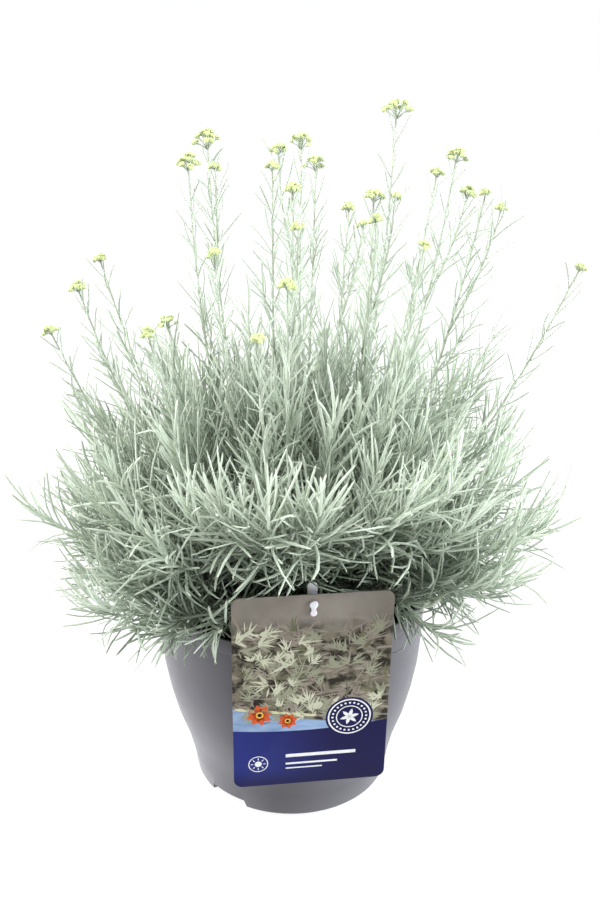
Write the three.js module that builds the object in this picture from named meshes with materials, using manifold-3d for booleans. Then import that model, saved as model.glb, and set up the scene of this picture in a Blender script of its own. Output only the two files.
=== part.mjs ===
// Potted curry plant: a silver-leaved shrub in a round nursery pot, with a plain plant label on a stake.
// Millimetres, +Z up. The origin is the middle of the pot's flat base. The label hangs on the -Y side.

import * as THREE from 'three';
import { mergeVertices } from 'three/addons/utils/BufferGeometryUtils.js';
import Module from 'manifold-3d';

const wasm = await Module();
wasm.setup();

// Pot
const POT_HEIGHT = 149;
const RIM_RADIUS = 95;
const POT_WALL = 1.6;
const POT_FLOOR = 2;
const POT_SIDES = 36;
// Outer wall from the flat base to the rim band: radius and height of each ring.
const POT_PROFILE = [
  [67, 0], [70.2, 2.5], [72.8, 19], [77.1, 37], [83.6, 56], [88.2, 75],
  [91.3, 93], [93, 112], [93.8, 138.8], [94.7, 139.3],
];
// The inner wall is plainer: its radius at the floor, and the heights of its other rings
const INNER_FLOOR_RADIUS = 67.5;
const INNER_RINGS = [19, 75, 139];
const CHANNEL_COUNT = 3;
const CHANNEL_HEADING = THREE.MathUtils.degToRad(-129.5);
const CHANNEL_WIDTH = 36;
const CHANNEL_TOP_WIDTH = 29;
const CHANNEL_HEIGHT = 7.5;
const CHANNEL_INNER_END = 40;
const DRAIN_RADIUS = 4;
const DRAIN_DISTANCE = 56;

// Soil
const FIT_GAP = 0.3;
const SOIL_TOP = 137;
const SOIL_FLAT_RADIUS = 58;
const SOIL_RIPPLE_RADIUS = 76;
const SOIL_RIPPLE = 1.2;

// Label card and its stake, both leaning forward in front of the rim
const CARD_WIDTH = 100;
const CARD_HEIGHT = 147;
const CARD_THICKNESS = 0.7;
const CARD_CORNER = 6;
const CARD_CENTRE_HEIGHT = 116;
const CARD_SIDE_SHIFT = 1.3;
const CARD_DISTANCE = 96.7;
const CARD_LEAN = THREE.MathUtils.degToRad(5);
const CARD_HEADING = THREE.MathUtils.degToRad(7);
const PEG_HOLE_RADIUS = 2.2;
const PEG_HOLE_DROP = 6.5;
const STAKE_WIDTH = 6.4;
const STAKE_THICKNESS = 1.6;
const STAKE_SETBACK = 5.2;
const STAKE_ABOVE_CARD = 4.8;
const STAKE_DEPTH = 62;
const STAKE_POINT = 12;
const PEG_NECK_RADIUS = 1.8;
const PEG_HEAD_RADIUS = 2.6;
const PEG_TONGUE_RADIUS = 2;
const PEG_TONGUE_DROP = 6;
const PEG_HEAD_THICKNESS = 1.5;

// Feet of the branches, each in its own hole in the soil
const FOOT_PULL = 0.27;
const FOOT_SPACING = 9;
const FOOT_ROUNDS = 60;
const FOOT_RADIUS = 2.3;
const FOOT_SIDES = 5;
const FOOT_DEPTH = 14;
const FOOT_RISE = 6;
const HOLE_RADIUS = 3.1;

// Stems
const STEM_SIDES = 3;
const STEM_STEPS = 4;
const STEM_BEND_REACH = 0.36;
const SHOOT_RADIUS = 1.3;
const FLOWER_STEM_RADIUS = 1.15;
const SIDE_STEM_RADIUS = 1;
const FLOWER_STEM_BEND = THREE.MathUtils.degToRad(8);
const FORK_ALONG = 0.7;
const FORK_STEP = 0.05;

// Leafy shoots: a dome of tips round the crown. Rises are angles above level.
const CROWN_HEIGHT = 137;
const GOLDEN_ANGLE = Math.PI * (3 - Math.sqrt(5));
const SHOOT_COUNT = 35;
const SHOOT_TURN = 0.6;
const SHOOTS_PER_FOOT = 3;
const SHOOT_LOW_REACH = 136;
const SHOOT_SIDE_REACH = 186;
const SHOOT_TOP_REACH = 172;
const SHOOT_REACH_SPREAD = [0.93, 1.05];
const SHOOT_LOWEST = THREE.MathUtils.degToRad(12);
const SHOOT_LOWEST_AT_LABEL = THREE.MathUtils.degToRad(42);
const SHOOT_START_RISE = THREE.MathUtils.degToRad(50);
const SHOOT_START_SHARE = 0.42;
const SHOOT_END_RISE = THREE.MathUtils.degToRad(30);
const SHOOT_END_SHARE = 0.72;
// How far a shoot turns to the label before it has to rise over it, and the rises where its reach changes
const LABEL_SHARE = [0.62, 0.86];
const SIDE_RISES = [0, 0.5];
const TOP_RISES = [0.8, 1.4];

// Leaves: pairs give the value at the lowest leaf and at the highest. `span` is their stretch of the stem,
// `spread` the angle between leaf and stem, and `droop` how far a leaf's outer half sinks.
const LEAF_RADIUS = 0.82;
const LEAF_ROOT_RADIUS = 0.55;
const SPIKE_ROOT_RADIUS = 0.8;
const SHOOT_LEAVES = {
  count: 12,
  span: [0.3, 0.985],
  spread: [THREE.MathUtils.degToRad(58), THREE.MathUtils.degToRad(17)],
  length: [31, 42],
  droop: [0.3, -0.15],
  swing: 0.6,
  closing: 0.6,
  curvedUpTo: 0.5,
  shortFrom: 0.9,
  shortBy: 0.75,
};
const FLOWER_STEM_LEAVES = {
  count: 10,
  sideCount: 3,
  span: [0.26, 0.93],
  spread: [THREE.MathUtils.degToRad(44), THREE.MathUtils.degToRad(26)],
  length: [38, 18],
};

// Flower heads, in half widths
const HEAD_FLORET = 1.06;
const HEAD_GROOVE = 0.8;
const HEAD_TAPER = 0.35;
const HEAD_BELOW = 0.95;
const HEAD_ABOVE = 0.6;
const HEAD_LIFT = HEAD_FLORET * HEAD_BELOW;
const LABEL_DIRECTION = CARD_HEADING - Math.PI / 2;

// Air kept between pieces, and the seed of the draws
const CLEAR_GAP = 0.35;
const WALL_GAP = 0.8;
const RIM_LIP = 3;
const SEED = 3;

// Each row is one flowering branch: x, y and height of the middle of its flower head, and the head's width.
// A second or third head on a row stands on a side stem of the same branch.
const FLOWERS = [
  [[-56, 60, 446, 18], [-50, 48, 428, 9]],
  [[-64, 10, 434, 15]],
  [[7, 98, 443, 16.5], [-9, 78, 438, 11.5]],
  [[-12, 20, 431, 9.5]],
  [[18, 125, 426, 16]],
  [[1, -35, 422, 10.5], [4, -46, 402, 8]],
  [[68, 45, 466, 19]],
  [[106, 115, 419, 11]],
  [[111, 60, 435, 13.5], [118, 50, 412, 12]],
  [[121, 2, 416, 8], [129, -10, 408, 8.5]],
  [[51, 0, 415, 12.5], [66, 10, 413, 7], [52, -13, 402, 8.5]],
  [[42, 106, 396, 10], [52, 100, 384, 8.5]],
  [[76, -60, 393, 7.5]],
  [[-133, 60, 366, 9.5]],
  [[-135, -10, 360, 11.5]],
  [[-146, -45, 340, 9]],
  [[-81, -85, 348, 8]],
  [[-93, 95, 314, 14]],
  [[-44, -60, 389, 8]],
  [[-2, -95, 377, 10]],
  [[-18, -115, 352, 8]],
  [[188, 15, 367, 9]],
];
// Tips of the leading shoots of the branches that carry no flowers.
const LEADERS = [[-112, -92, 200], [126, -84, 196], [-112, 112, 214], [118, 112, 208]];

// Solids
function solidFrom(geometry) {
  const bare = geometry.clone();
  bare.deleteAttribute('normal');
  bare.deleteAttribute('uv');
  const merged = mergeVertices(bare, 1e-4);
  return new wasm.Manifold(new wasm.Mesh({
    numProp: 3,
    vertProperties: new Float32Array(merged.attributes.position.array),
    triVerts: new Uint32Array(merged.index.array),
  }));
}

function geometryFrom(solid) {
  const mesh = solid.getMesh();
  const geometry = new THREE.BufferGeometry();
  geometry.setAttribute('position', new THREE.BufferAttribute(new Float32Array(mesh.vertProperties), 3));
  geometry.setIndex(new THREE.BufferAttribute(new Uint32Array(mesh.triVerts), 1));
  return geometry;
}

function joined(solids) {
  let layer = solids;
  while (layer.length > 1) {
    const next = [];
    for (let i = 0; i < layer.length; i += 2) {
      next.push(i + 1 < layer.length ? layer[i].add(layer[i + 1]) : layer[i]);
    }
    layer = next;
  }
  return layer[0];
}

// The connected skin with the most triangles: sealed hollows and loose scraps are left behind.
function mainSkin(geometry) {
  const index = geometry.index.array;
  const parent = Array.from({ length: geometry.attributes.position.count }, (_, i) => i);
  const rootOf = (i) => {
    while (parent[i] !== i) {
      parent[i] = parent[parent[i]];
      i = parent[i];
    }
    return i;
  };
  for (let i = 0; i < index.length; i += 3) {
    parent[rootOf(index[i + 1])] = rootOf(index[i]);
    parent[rootOf(index[i + 2])] = rootOf(index[i]);
  }
  const counts = new Map();
  for (let i = 0; i < index.length; i += 3) {
    const root = rootOf(index[i]);
    counts.set(root, (counts.get(root) ?? 0) + 1);
  }
  const [largest] = [...counts.entries()].sort((a, b) => b[1] - a[1])[0];
  const kept = [];
  for (let i = 0; i < index.length; i += 3) {
    if (rootOf(index[i]) === largest) kept.push(index[i], index[i + 1], index[i + 2]);
  }
  const skin = new THREE.BufferGeometry();
  skin.setAttribute('position', geometry.attributes.position);
  skin.setIndex(kept);
  return mergeVertices(skin, 1e-4);
}

// A closed tube of flat facets through the points. A last radius of 0 ends it in a point. `reference` turns
// its facets, and a tube of parallel rings has flat sides, which cross other pieces with fewer triangles.
function tubeThrough(points, radii, sides, reference, parallel = false) {
  const rings = points.length;
  const positions = [];
  const index = [];
  const heading = new THREE.Vector3().subVectors(points[1], points[0]).normalize();
  const side = reference.clone();
  const other = new THREE.Vector3();
  for (let i = 0; i < rings; i++) {
    const [before, after] = [points[Math.max(i - 1, 0)], points[Math.min(i + 1, rings - 1)]];
    if (!parallel) heading.subVectors(after, before).normalize();
    side.addScaledVector(heading, -side.dot(heading)).normalize();
    other.crossVectors(heading, side);
    if (radii[i] === 0) {
      positions.push(points[i].x, points[i].y, points[i].z);
      continue;
    }
    for (let k = 0; k < sides; k++) {
      const turn = (2 * Math.PI * (k + 0.5)) / sides;
      const corner = points[i].clone();
      corner.addScaledVector(side, radii[i] * Math.cos(turn));
      corner.addScaledVector(other, radii[i] * Math.sin(turn));
      positions.push(corner.x, corner.y, corner.z);
    }
  }
  for (let i = 0; i + 1 < rings; i++) {
    const low = i * sides;
    const high = low + sides;
    for (let k = 0; k < sides; k++) {
      const next = (k + 1) % sides;
      if (radii[i + 1] === 0) {
        index.push(low + k, low + next, high);
      } else {
        index.push(low + k, low + next, high + next, low + k, high + next, high + k);
      }
    }
  }
  for (let k = 1; k + 1 < sides; k++) {
    index.push(0, k + 1, k);
    if (radii[rings - 1] > 0) {
      const last = (rings - 1) * sides;
      index.push(last, last + k, last + k + 1);
    }
  }
  const geometry = new THREE.BufferGeometry();
  geometry.setAttribute('position', new THREE.Float32BufferAttribute(positions, 3));
  geometry.setIndex(index);
  return geometry;
}

function lathe(profile, sides) {
  const points = profile.map(([radius, height]) => new THREE.Vector2(radius, height));
  const geometry = new THREE.LatheGeometry(points, sides);
  geometry.rotateX(Math.PI / 2);
  return geometry;
}

// Pot
function outerRadius(height) {
  for (let i = 1; i < POT_PROFILE.length; i++) {
    const [r0, z0] = POT_PROFILE[i - 1];
    const [r1, z1] = POT_PROFILE[i];
    if (height <= z1) return THREE.MathUtils.mapLinear(height, z0, z1, r0, r1);
  }
  return RIM_RADIUS;
}

function innerRadius(height) {
  const [lower, upper] = [INNER_RINGS.findLast((z) => z <= height), INNER_RINGS.find((z) => z > height)];
  if (lower === undefined) return INNER_FLOOR_RADIUS;
  const share = upper === undefined ? 0 : (height - lower) / (upper - lower);
  return THREE.MathUtils.lerp(outerRadius(lower), outerRadius(upper ?? lower), share) - POT_WALL;
}

// Profile of the round body that fills the pot's inside, held off its wall by `gap`, up to height `top`.
function cavityProfile(gap, top) {
  const rings = INNER_RINGS.filter((z) => z < top);
  const heights = [POT_FLOOR + gap, ...rings, top];
  return [[0, POT_FLOOR + gap], ...heights.map((z) => [innerRadius(z) - gap, z])];
}

// The three drainage channels under the base, grown by `extra` on their sides, top and inner end.
function channels(extra) {
  const half = CHANNEL_WIDTH / 2 + extra;
  const topHalf = CHANNEL_TOP_WIDTH / 2 + extra;
  const below = -5;
  const outline = new THREE.Shape([
    new THREE.Vector2(-half, below), new THREE.Vector2(half, below),
    new THREE.Vector2(topHalf, CHANNEL_HEIGHT + extra), new THREE.Vector2(-topHalf, CHANNEL_HEIGHT + extra),
  ]);
  const start = CHANNEL_INNER_END - extra;
  const solids = [];
  for (let i = 0; i < CHANNEL_COUNT; i++) {
    const geometry = new THREE.ExtrudeGeometry(outline, { depth: RIM_RADIUS - start, bevelEnabled: false });
    geometry.rotateX(Math.PI / 2);
    geometry.translate(0, -start, 0);
    geometry.rotateZ(CHANNEL_HEADING + (2 * Math.PI * i) / CHANNEL_COUNT + Math.PI / 2);
    solids.push(solidFrom(geometry));
  }
  return joined(solids);
}

function drainHoles() {
  const solids = [];
  for (let i = 0; i < CHANNEL_COUNT; i++) {
    const heading = CHANNEL_HEADING + (2 * Math.PI * i) / CHANNEL_COUNT;
    const hole = new THREE.CylinderGeometry(DRAIN_RADIUS, DRAIN_RADIUS, 3 * POT_WALL, 8);
    hole.rotateX(Math.PI / 2);
    hole.translate(DRAIN_DISTANCE, 0, CHANNEL_HEIGHT + POT_WALL / 2);
    hole.rotateZ(heading);
    solids.push(solidFrom(hole));
  }
  return joined(solids);
}

function makePot() {
  const wall = [[0, 0], ...POT_PROFILE, [RIM_RADIUS, POT_HEIGHT], [0, POT_HEIGHT]];
  const outer = solidFrom(lathe(wall, POT_SIDES));
  const cavity = lathe([...cavityProfile(0, POT_HEIGHT + 2), [0, POT_HEIGHT + 2]], POT_SIDES);
  const inside = solidFrom(cavity).subtract(channels(POT_WALL));
  return geometryFrom(outer.subtract(inside).subtract(channels(0)).subtract(drainHoles()));
}

// Soil: its top is flat where the stems stand and ripples towards the wall
function soilHeight(x, y) {
  return SOIL_TOP + SOIL_RIPPLE * Math.sin(0.11 * x + 0.7) * Math.cos(0.09 * y - 0.4);
}

function soilBody() {
  const top = [[SOIL_RIPPLE_RADIUS, SOIL_TOP], [SOIL_FLAT_RADIUS, SOIL_TOP], [0, SOIL_TOP]];
  const geometry = lathe([...cavityProfile(FIT_GAP, SOIL_TOP), ...top], POT_SIDES);
  const position = geometry.attributes.position;
  for (let i = 0; i < position.count; i++) {
    const x = position.getX(i);
    const y = position.getY(i);
    const onTop = position.getZ(i) > SOIL_TOP - 0.01;
    if (onTop && Math.hypot(x, y) > SOIL_FLAT_RADIUS + 1) position.setZ(i, soilHeight(x, y));
  }
  return solidFrom(geometry).subtract(channels(POT_WALL + FIT_GAP));
}

function makeSoil(feet) {
  const holes = feet.map((foot) => {
    const hole = new THREE.CylinderGeometry(HOLE_RADIUS, HOLE_RADIUS, 2 * (FOOT_DEPTH + FIT_GAP), FOOT_SIDES);
    hole.rotateX(Math.PI / 2);
    hole.translate(foot.x, foot.y, SOIL_TOP);
    return solidFrom(hole);
  });
  return geometryFrom(soilBody().subtract(joined([...holes, stakeSlot()])));
}

// Label frame: x along the card, y into the plant, z up the leaning card, zero at the rim's height.
function labelMatrix() {
  const lean = new THREE.Matrix4().makeRotationX(CARD_LEAN);
  const place = new THREE.Matrix4().makeTranslation(CARD_SIDE_SHIFT, -CARD_DISTANCE, POT_HEIGHT);
  const heading = new THREE.Matrix4().makeRotationZ(CARD_HEADING);
  return heading.multiply(place).multiply(lean);
}

const CARD_MIDDLE = (CARD_CENTRE_HEIGHT - POT_HEIGHT) / Math.cos(CARD_LEAN);
const CARD_TOP = CARD_MIDDLE + CARD_HEIGHT / 2;
const PEG_HEIGHT = CARD_TOP - PEG_HOLE_DROP;

function roundedOutline(width, height, corner) {
  const x = width / 2;
  const y = height / 2;
  const outline = new THREE.Shape();
  outline.moveTo(-x + corner, -y);
  outline.lineTo(x - corner, -y);
  outline.absarc(x - corner, -y + corner, corner, -Math.PI / 2, 0);
  outline.lineTo(x, y - corner);
  outline.absarc(x - corner, y - corner, corner, 0, Math.PI / 2);
  outline.lineTo(-x + corner, y);
  outline.absarc(-x + corner, y - corner, corner, Math.PI / 2, Math.PI);
  outline.lineTo(-x, -y + corner);
  outline.absarc(-x + corner, -y + corner, corner, Math.PI, Math.PI * 1.5);
  return outline;
}

// Turns a plate drawn in x and y, and extruded along z, upright into the label frame, its front at `front`.
function upright(geometry, front) {
  geometry.rotateX(Math.PI / 2);
  geometry.translate(0, front, 0);
  return geometry;
}

function plate(outline, thickness, front, curveSegments) {
  const options = { depth: thickness, bevelEnabled: false, curveSegments };
  const geometry = new THREE.ExtrudeGeometry(outline, options);
  return upright(geometry, front + thickness);
}

function makeCard() {
  const outline = roundedOutline(CARD_WIDTH, CARD_HEIGHT, CARD_CORNER);
  const hole = new THREE.Path();
  hole.absarc(0, PEG_HEIGHT - CARD_MIDDLE, PEG_HOLE_RADIUS, 0, 2 * Math.PI, true);
  outline.holes.push(hole);
  const card = plate(outline, CARD_THICKNESS, -CARD_THICKNESS, 3);
  card.translate(0, 0, CARD_MIDDLE);
  return card;
}

function stakeOutline(extra) {
  const half = STAKE_WIDTH / 2 + extra;
  const top = CARD_TOP + STAKE_ABOVE_CARD - STAKE_WIDTH / 2;
  const foot = SOIL_TOP - POT_HEIGHT - STAKE_DEPTH - extra;
  const outline = new THREE.Shape();
  outline.moveTo(0, foot);
  outline.lineTo(half, foot + STAKE_POINT);
  outline.lineTo(half, top);
  outline.absarc(0, top, half, 0, Math.PI);
  outline.lineTo(-half, foot + STAKE_POINT);
  return outline;
}

function makeStake() {
  const strip = plate(stakeOutline(0), STAKE_THICKNESS, STAKE_SETBACK, 5);
  const headFront = -CARD_THICKNESS - CLEAR_GAP - PEG_HEAD_THICKNESS;
  const neckLength = STAKE_SETBACK + STAKE_THICKNESS / 2 - headFront - PEG_HEAD_THICKNESS / 2;
  const neck = new THREE.CylinderGeometry(PEG_NECK_RADIUS, PEG_NECK_RADIUS, neckLength, 8);
  neck.translate(0, headFront + PEG_HEAD_THICKNESS / 2 + neckLength / 2, PEG_HEIGHT);
  const tongue = new THREE.Shape();
  tongue.absarc(0, PEG_HEIGHT, PEG_HEAD_RADIUS, 0, Math.PI);
  tongue.absarc(0, PEG_HEIGHT - PEG_TONGUE_DROP, PEG_TONGUE_RADIUS, Math.PI, 2 * Math.PI);
  const head = plate(tongue, PEG_HEAD_THICKNESS, headFront, 5);
  return geometryFrom(joined([solidFrom(strip), solidFrom(neck), solidFrom(head)]));
}

function stakeSlot() {
  const slot = plate(stakeOutline(FIT_GAP), STAKE_THICKNESS + 2 * FIT_GAP, STAKE_SETBACK - FIT_GAP, 2);
  slot.applyMatrix4(labelMatrix());
  return solidFrom(slot);
}

// Seeded draws
let drawState = SEED;
function draw(low, high) {
  drawState = (drawState * 1664525 + 1013904223) % 4294967296;
  return low + ((high - low) * drawState) / 4294967296;
}

// Clearance: everything placed so far, as round-ended rods that each belong to one piece
const rods = [];

function segmentDistance(a, b, c, d) {
  const u = new THREE.Vector3().subVectors(b, a);
  const v = new THREE.Vector3().subVectors(d, c);
  const w = new THREE.Vector3().subVectors(a, c);
  const uu = u.dot(u);
  const vv = v.dot(v);
  const uv = u.dot(v);
  const uw = u.dot(w);
  const vw = v.dot(w);
  const clamp = THREE.MathUtils.clamp;
  const area = uu * vv - uv * uv;
  let s = area > 1e-9 ? clamp((uv * vw - vv * uw) / area, 0, 1) : 0;
  const t = clamp((uv * s + vw) / vv, 0, 1);
  s = clamp((uv * t - uw) / uu, 0, 1);
  return w.addScaledVector(u, s).addScaledVector(v, -t).length();
}

// `skipped` lists the owners and stems that the new piece may touch.
function clearOfRods(skipped, points, radius) {
  for (let i = 0; i + 1 < points.length; i++) {
    for (const rod of rods) {
      if (skipped.includes(rod.owner) || skipped.includes(rod.stem)) continue;
      const needed = rod.radius + radius + CLEAR_GAP;
      if (segmentDistance(points[i], points[i + 1], rod.start, rod.end) < needed) return false;
    }
  }
  return true;
}

function placeRods(owner, stem, points, radius) {
  for (let i = 0; i + 1 < points.length; i++) {
    rods.push({ owner, stem, start: points[i], end: points[i + 1], radius });
  }
}

// Room for one point of a stem or leaf beside the pot, the soil, the card and the stake
const toLabelFrame = labelMatrix().invert();

function hasRoom(point, radius) {
  const out = Math.hypot(point.x, point.y);
  const margin = radius + WALL_GAP;
  if (point.z < POT_FLOOR) return false;
  const overRim = point.z > POT_HEIGHT + margin;
  const outside = out > outerRadius(Math.min(point.z, POT_HEIGHT)) + margin;
  const inside = out < RIM_RADIUS - RIM_LIP - margin && point.z > SOIL_TOP + SOIL_RIPPLE + margin;
  if (!overRim && !outside && !inside) return false;
  const local = point.clone().applyMatrix4(toLabelFrame);
  const behindCard = local.y > margin;
  const besideCard = Math.abs(local.x) > CARD_WIDTH / 2 + margin || local.z > CARD_TOP + margin;
  const behindStake = local.y > STAKE_SETBACK + STAKE_THICKNESS + margin;
  const besideStake = Math.abs(local.x) > STAKE_WIDTH / 2 + margin;
  const aboveStake = local.z > CARD_TOP + STAKE_ABOVE_CARD + margin;
  return (behindCard || besideCard) && (behindStake || besideStake || aboveStake);
}

const PATH_TESTS = 4;

function pathHasRoom(points, radius) {
  for (let i = 0; i + 1 < points.length; i++) {
    for (let k = 0; k < PATH_TESTS; k++) {
      if (!hasRoom(points[i].clone().lerp(points[i + 1], k / PATH_TESTS), radius)) return false;
    }
  }
  return hasRoom(points[points.length - 1], radius);
}

// Growth rule: a foot stands a fixed share of the way out to its tip, so that branches do not cross
function footFor(tip, feet) {
  const place = new THREE.Vector3(tip.x * FOOT_PULL, tip.y * FOOT_PULL, SOIL_TOP);
  for (let round = 0; round < FOOT_ROUNDS; round++) {
    for (const foot of feet) {
      const apart = new THREE.Vector3().subVectors(place, foot);
      const missing = FOOT_SPACING - apart.length();
      if (missing > 0) place.addScaledVector(apart.normalize(), missing + CLEAR_GAP);
    }
  }
  return place;
}

// A stem's middle line: it leaves the foot at `startRise` above level and ends at `endRise`.
function stemCurve(foot, tip, startRise, endRise, sway, lift) {
  const away = new THREE.Vector3(tip.x - foot.x, tip.y - foot.y, 0);
  const level = away.length();
  away.normalize();
  const across = new THREE.Vector3(-away.y, away.x, 0);
  const reach = STEM_BEND_REACH * Math.hypot(level, tip.z - foot.z);
  const first = foot.clone().addScaledVector(away, reach * Math.cos(startRise));
  first.z += reach * Math.sin(startRise) + lift;
  const second = tip.clone().addScaledVector(away, -reach * Math.cos(endRise));
  second.z -= reach * Math.sin(endRise) - lift;
  first.addScaledVector(across, sway);
  second.addScaledVector(across, sway);
  return new THREE.CubicBezierCurve3(foot.clone(), first, second, tip.clone());
}

// Bends that a stem tries in turn, sideways and up
const SWAYS = [0, 3, -3, 6, -6, 9, -9, 13, -13, 17, -17];
const LIFTS = [0, 5, 10, 16];
const STEM_FREE_FROM = 0.3;

// Tries the plain curve first, then bends it until it clears the other pieces.
function growStem(owner, ownHead, from, { tip, startRise, endRise }, radius) {
  for (const lift of LIFTS) {
    for (const sway of SWAYS) {
      const curve = stemCurve(from, tip, startRise, endRise, sway, lift);
      const points = curve.getPoints(STEM_STEPS);
      const above = [points[0].clone().lerp(points[1], STEM_FREE_FROM), ...points.slice(1)];
      if (!clearOfRods([owner, ownHead], above, radius) || !pathHasRoom(above, radius)) continue;
      placeRods(owner, curve, points, radius);
      const across = new THREE.Vector3(from.y - tip.y, tip.x - from.x, 0).normalize();
      return { owner, curve, points, radius, across };
    }
  }
  return null;
}

// The point on a stem's faceted middle line, and the way the stem heads there
function placeOn(stem, along) {
  const step = Math.min(Math.floor(along * STEM_STEPS), STEM_STEPS - 1);
  const [start, end] = [stem.points[step], stem.points[step + 1]];
  const root = start.clone().lerp(end, along * STEM_STEPS - step);
  return { root, heading: end.clone().sub(start).normalize() };
}

function stemSolid(stem) {
  const radii = stem.points.map(() => stem.radius);
  return solidFrom(tubeThrough(stem.points, radii, STEM_SIDES, stem.across));
}

// The direction that leans from `heading` towards `out` by `angle`
function leaning(heading, out, angle) {
  return heading.clone().multiplyScalar(Math.cos(angle)).addScaledVector(out, Math.sin(angle));
}

// One narrow leaf from the stem's middle line, through one of the stem's flat sides. Its inner part leans off
// the stem by `spread`, its outer part by `endSpread`, and `swing` turns it round the stem.
const LEAF_BEND_AT = 0.45;
const LEAF_ROOT_TURN = 0.4;

function leafPoints(stem, leaf, facet, swing, length) {
  const { root, heading } = placeOn(stem, leaf.along);
  const side = stem.across.clone().addScaledVector(heading, -stem.across.dot(heading)).normalize();
  const out = side.applyAxisAngle(heading, (facet * 2 * Math.PI) / STEM_SIDES + LEAF_ROOT_TURN * swing);
  const swung = out.clone().applyAxisAngle(heading, swing);
  const first = leaning(heading, out, leaf.spread);
  const last = leaning(heading, swung, leaf.endSpread);
  last.z -= leaf.droop;
  const middle = root.clone().addScaledVector(first, length * LEAF_BEND_AT);
  const end = middle.clone().addScaledVector(last.normalize(), length * (1 - LEAF_BEND_AT));
  return { path: leaf.curved ? [root, middle, end] : [root, end], out };
}

// Every placing a leaf may try: its own first, then the stem's other sides, then shorter
const LEAF_TRIES = [];
for (const scale of [1, 0.75]) {
  for (const turn of [0, 1, 2]) {
    for (const swing of [0, 0.5, -0.5]) LEAF_TRIES.push({ scale, turn, swing });
  }
}
const LEAF_FREE_FROM = 0.2;

// Leaves that touch nothing come first. The second round lets a leaf touch others of its own branch.
function growLeaf(stem, leaf) {
  for (const skipped of [[stem.curve], [stem.owner]]) {
    for (const { scale, turn, swing } of LEAF_TRIES) {
      const [facet, swung, length] = [leaf.facet + turn, leaf.swing + swing, leaf.length * scale];
      const { path, out } = leafPoints(stem, leaf, facet, swung, length);
      const free = [path[0].clone().lerp(path[1], LEAF_FREE_FROM), ...path.slice(1)];
      if (!clearOfRods(skipped, free, LEAF_RADIUS) || !pathHasRoom(free, LEAF_RADIUS)) continue;
      placeRods(stem.owner, null, free, LEAF_RADIUS);
      const radii = leaf.curved ? [LEAF_ROOT_RADIUS, LEAF_RADIUS, 0] : [SPIKE_ROOT_RADIUS, 0];
      return solidFrom(tubeThrough(path, radii, 3, out, true));
    }
  }
  return null;
}

// The flat side of a stem that lies nearest to the spiral's next turn
function spiralFacet(i) {
  return Math.round((i * GOLDEN_ANGLE * STEM_SIDES) / (2 * Math.PI)) % STEM_SIDES;
}

function between([low, high], share) {
  return THREE.MathUtils.lerp(low, high, share);
}

function leavesOnShoot(stem) {
  const rule = SHOOT_LEAVES;
  const leaves = [];
  for (let i = 0; i < rule.count; i++) {
    const along = between(rule.span, i / (rule.count - 1));
    const spread = between(rule.spread, along ** 2);
    leaves.push(growLeaf(stem, {
      along,
      facet: spiralFacet(i),
      spread,
      endSpread: spread * rule.closing,
      length: draw(...rule.length) * (along > rule.shortFrom ? rule.shortBy : 1),
      droop: between(rule.droop, along),
      swing: draw(-rule.swing, rule.swing),
      curved: along < rule.curvedUpTo,
    }));
  }
  return leaves;
}

function leavesOnFlowerStem(stem, count) {
  const rule = FLOWER_STEM_LEAVES;
  const leaves = [];
  for (let i = 0; i < count; i++) {
    const along = between(rule.span, i / (count - 1));
    const spread = between(rule.spread, along);
    const length = between(rule.length, along);
    const straight = { endSpread: spread, droop: 0, swing: 0, curved: false };
    leaves.push(growLeaf(stem, { along, facet: spiralFacet(i), spread, length, ...straight }));
  }
  return leaves;
}

// An icosahedron stood on one of its corners
function bareIcosahedron(detail) {
  const geometry = new THREE.IcosahedronGeometry(1, detail);
  geometry.deleteAttribute('normal');
  geometry.deleteAttribute('uv');
  geometry.rotateX(Math.atan2(1, (1 + Math.sqrt(5)) / 2));
  return mergeVertices(geometry, 1e-4);
}

const CORNERS = bareIcosahedron(0).attributes.position;

function isCorner(direction) {
  const corner = new THREE.Vector3();
  for (let i = 0; i < CORNERS.count; i++) {
    if (corner.fromBufferAttribute(CORNERS, i).normalize().dot(direction) > 0.99) return true;
  }
  return false;
}

// A flower head: a flat-topped knob with twelve raised points for its crowded florets, stood on one of them
function makeHead(base, axis, width) {
  const knob = bareIcosahedron(1);
  const position = knob.attributes.position;
  const point = new THREE.Vector3();
  const radius = width / 2;
  for (let i = 0; i < position.count; i++) {
    point.fromBufferAttribute(position, i).normalize();
    point.multiplyScalar(isCorner(point) ? HEAD_FLORET : HEAD_GROOVE);
    const taper = 1 + HEAD_TAPER * Math.min(point.z, 0);
    const stretch = point.z < 0 ? HEAD_BELOW : HEAD_ABOVE;
    point.set(point.x * taper, point.y * taper, point.z * stretch + HEAD_LIFT).multiplyScalar(radius);
    position.setXYZ(i, point.x, point.y, point.z);
  }
  knob.applyQuaternion(new THREE.Quaternion().setFromUnitVectors(new THREE.Vector3(0, 0, 1), axis));
  knob.translate(base.x, base.y, base.z);
  return knob;
}

// The rise of the straight line between two points above level, in radians
function riseBetween(from, to) {
  return Math.atan2(to.z - from.z, Math.hypot(to.x - from.x, to.y - from.y));
}

function directionTo(from, to, rise) {
  const away = new THREE.Vector3(to.x - from.x, to.y - from.y, 0).normalize();
  return away.multiplyScalar(Math.cos(rise)).setZ(Math.sin(rise));
}

// A stem that carries a flower head, with the head's seat worked out from the stem's last heading
function planFlower(from, [x, y, z, width]) {
  const middle = new THREE.Vector3(x, y, z);
  const rise = riseBetween(from, middle);
  const endRise = Math.min(rise + FLOWER_STEM_BEND, Math.PI / 2);
  const axis = directionTo(from, middle, endRise);
  const base = middle.clone().addScaledVector(axis, -HEAD_LIFT * (width / 2));
  const tip = base.clone().addScaledVector(axis, -CLEAR_GAP);
  return { base, axis, tip, width, startRise: rise - FLOWER_STEM_BEND, endRise };
}

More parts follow.
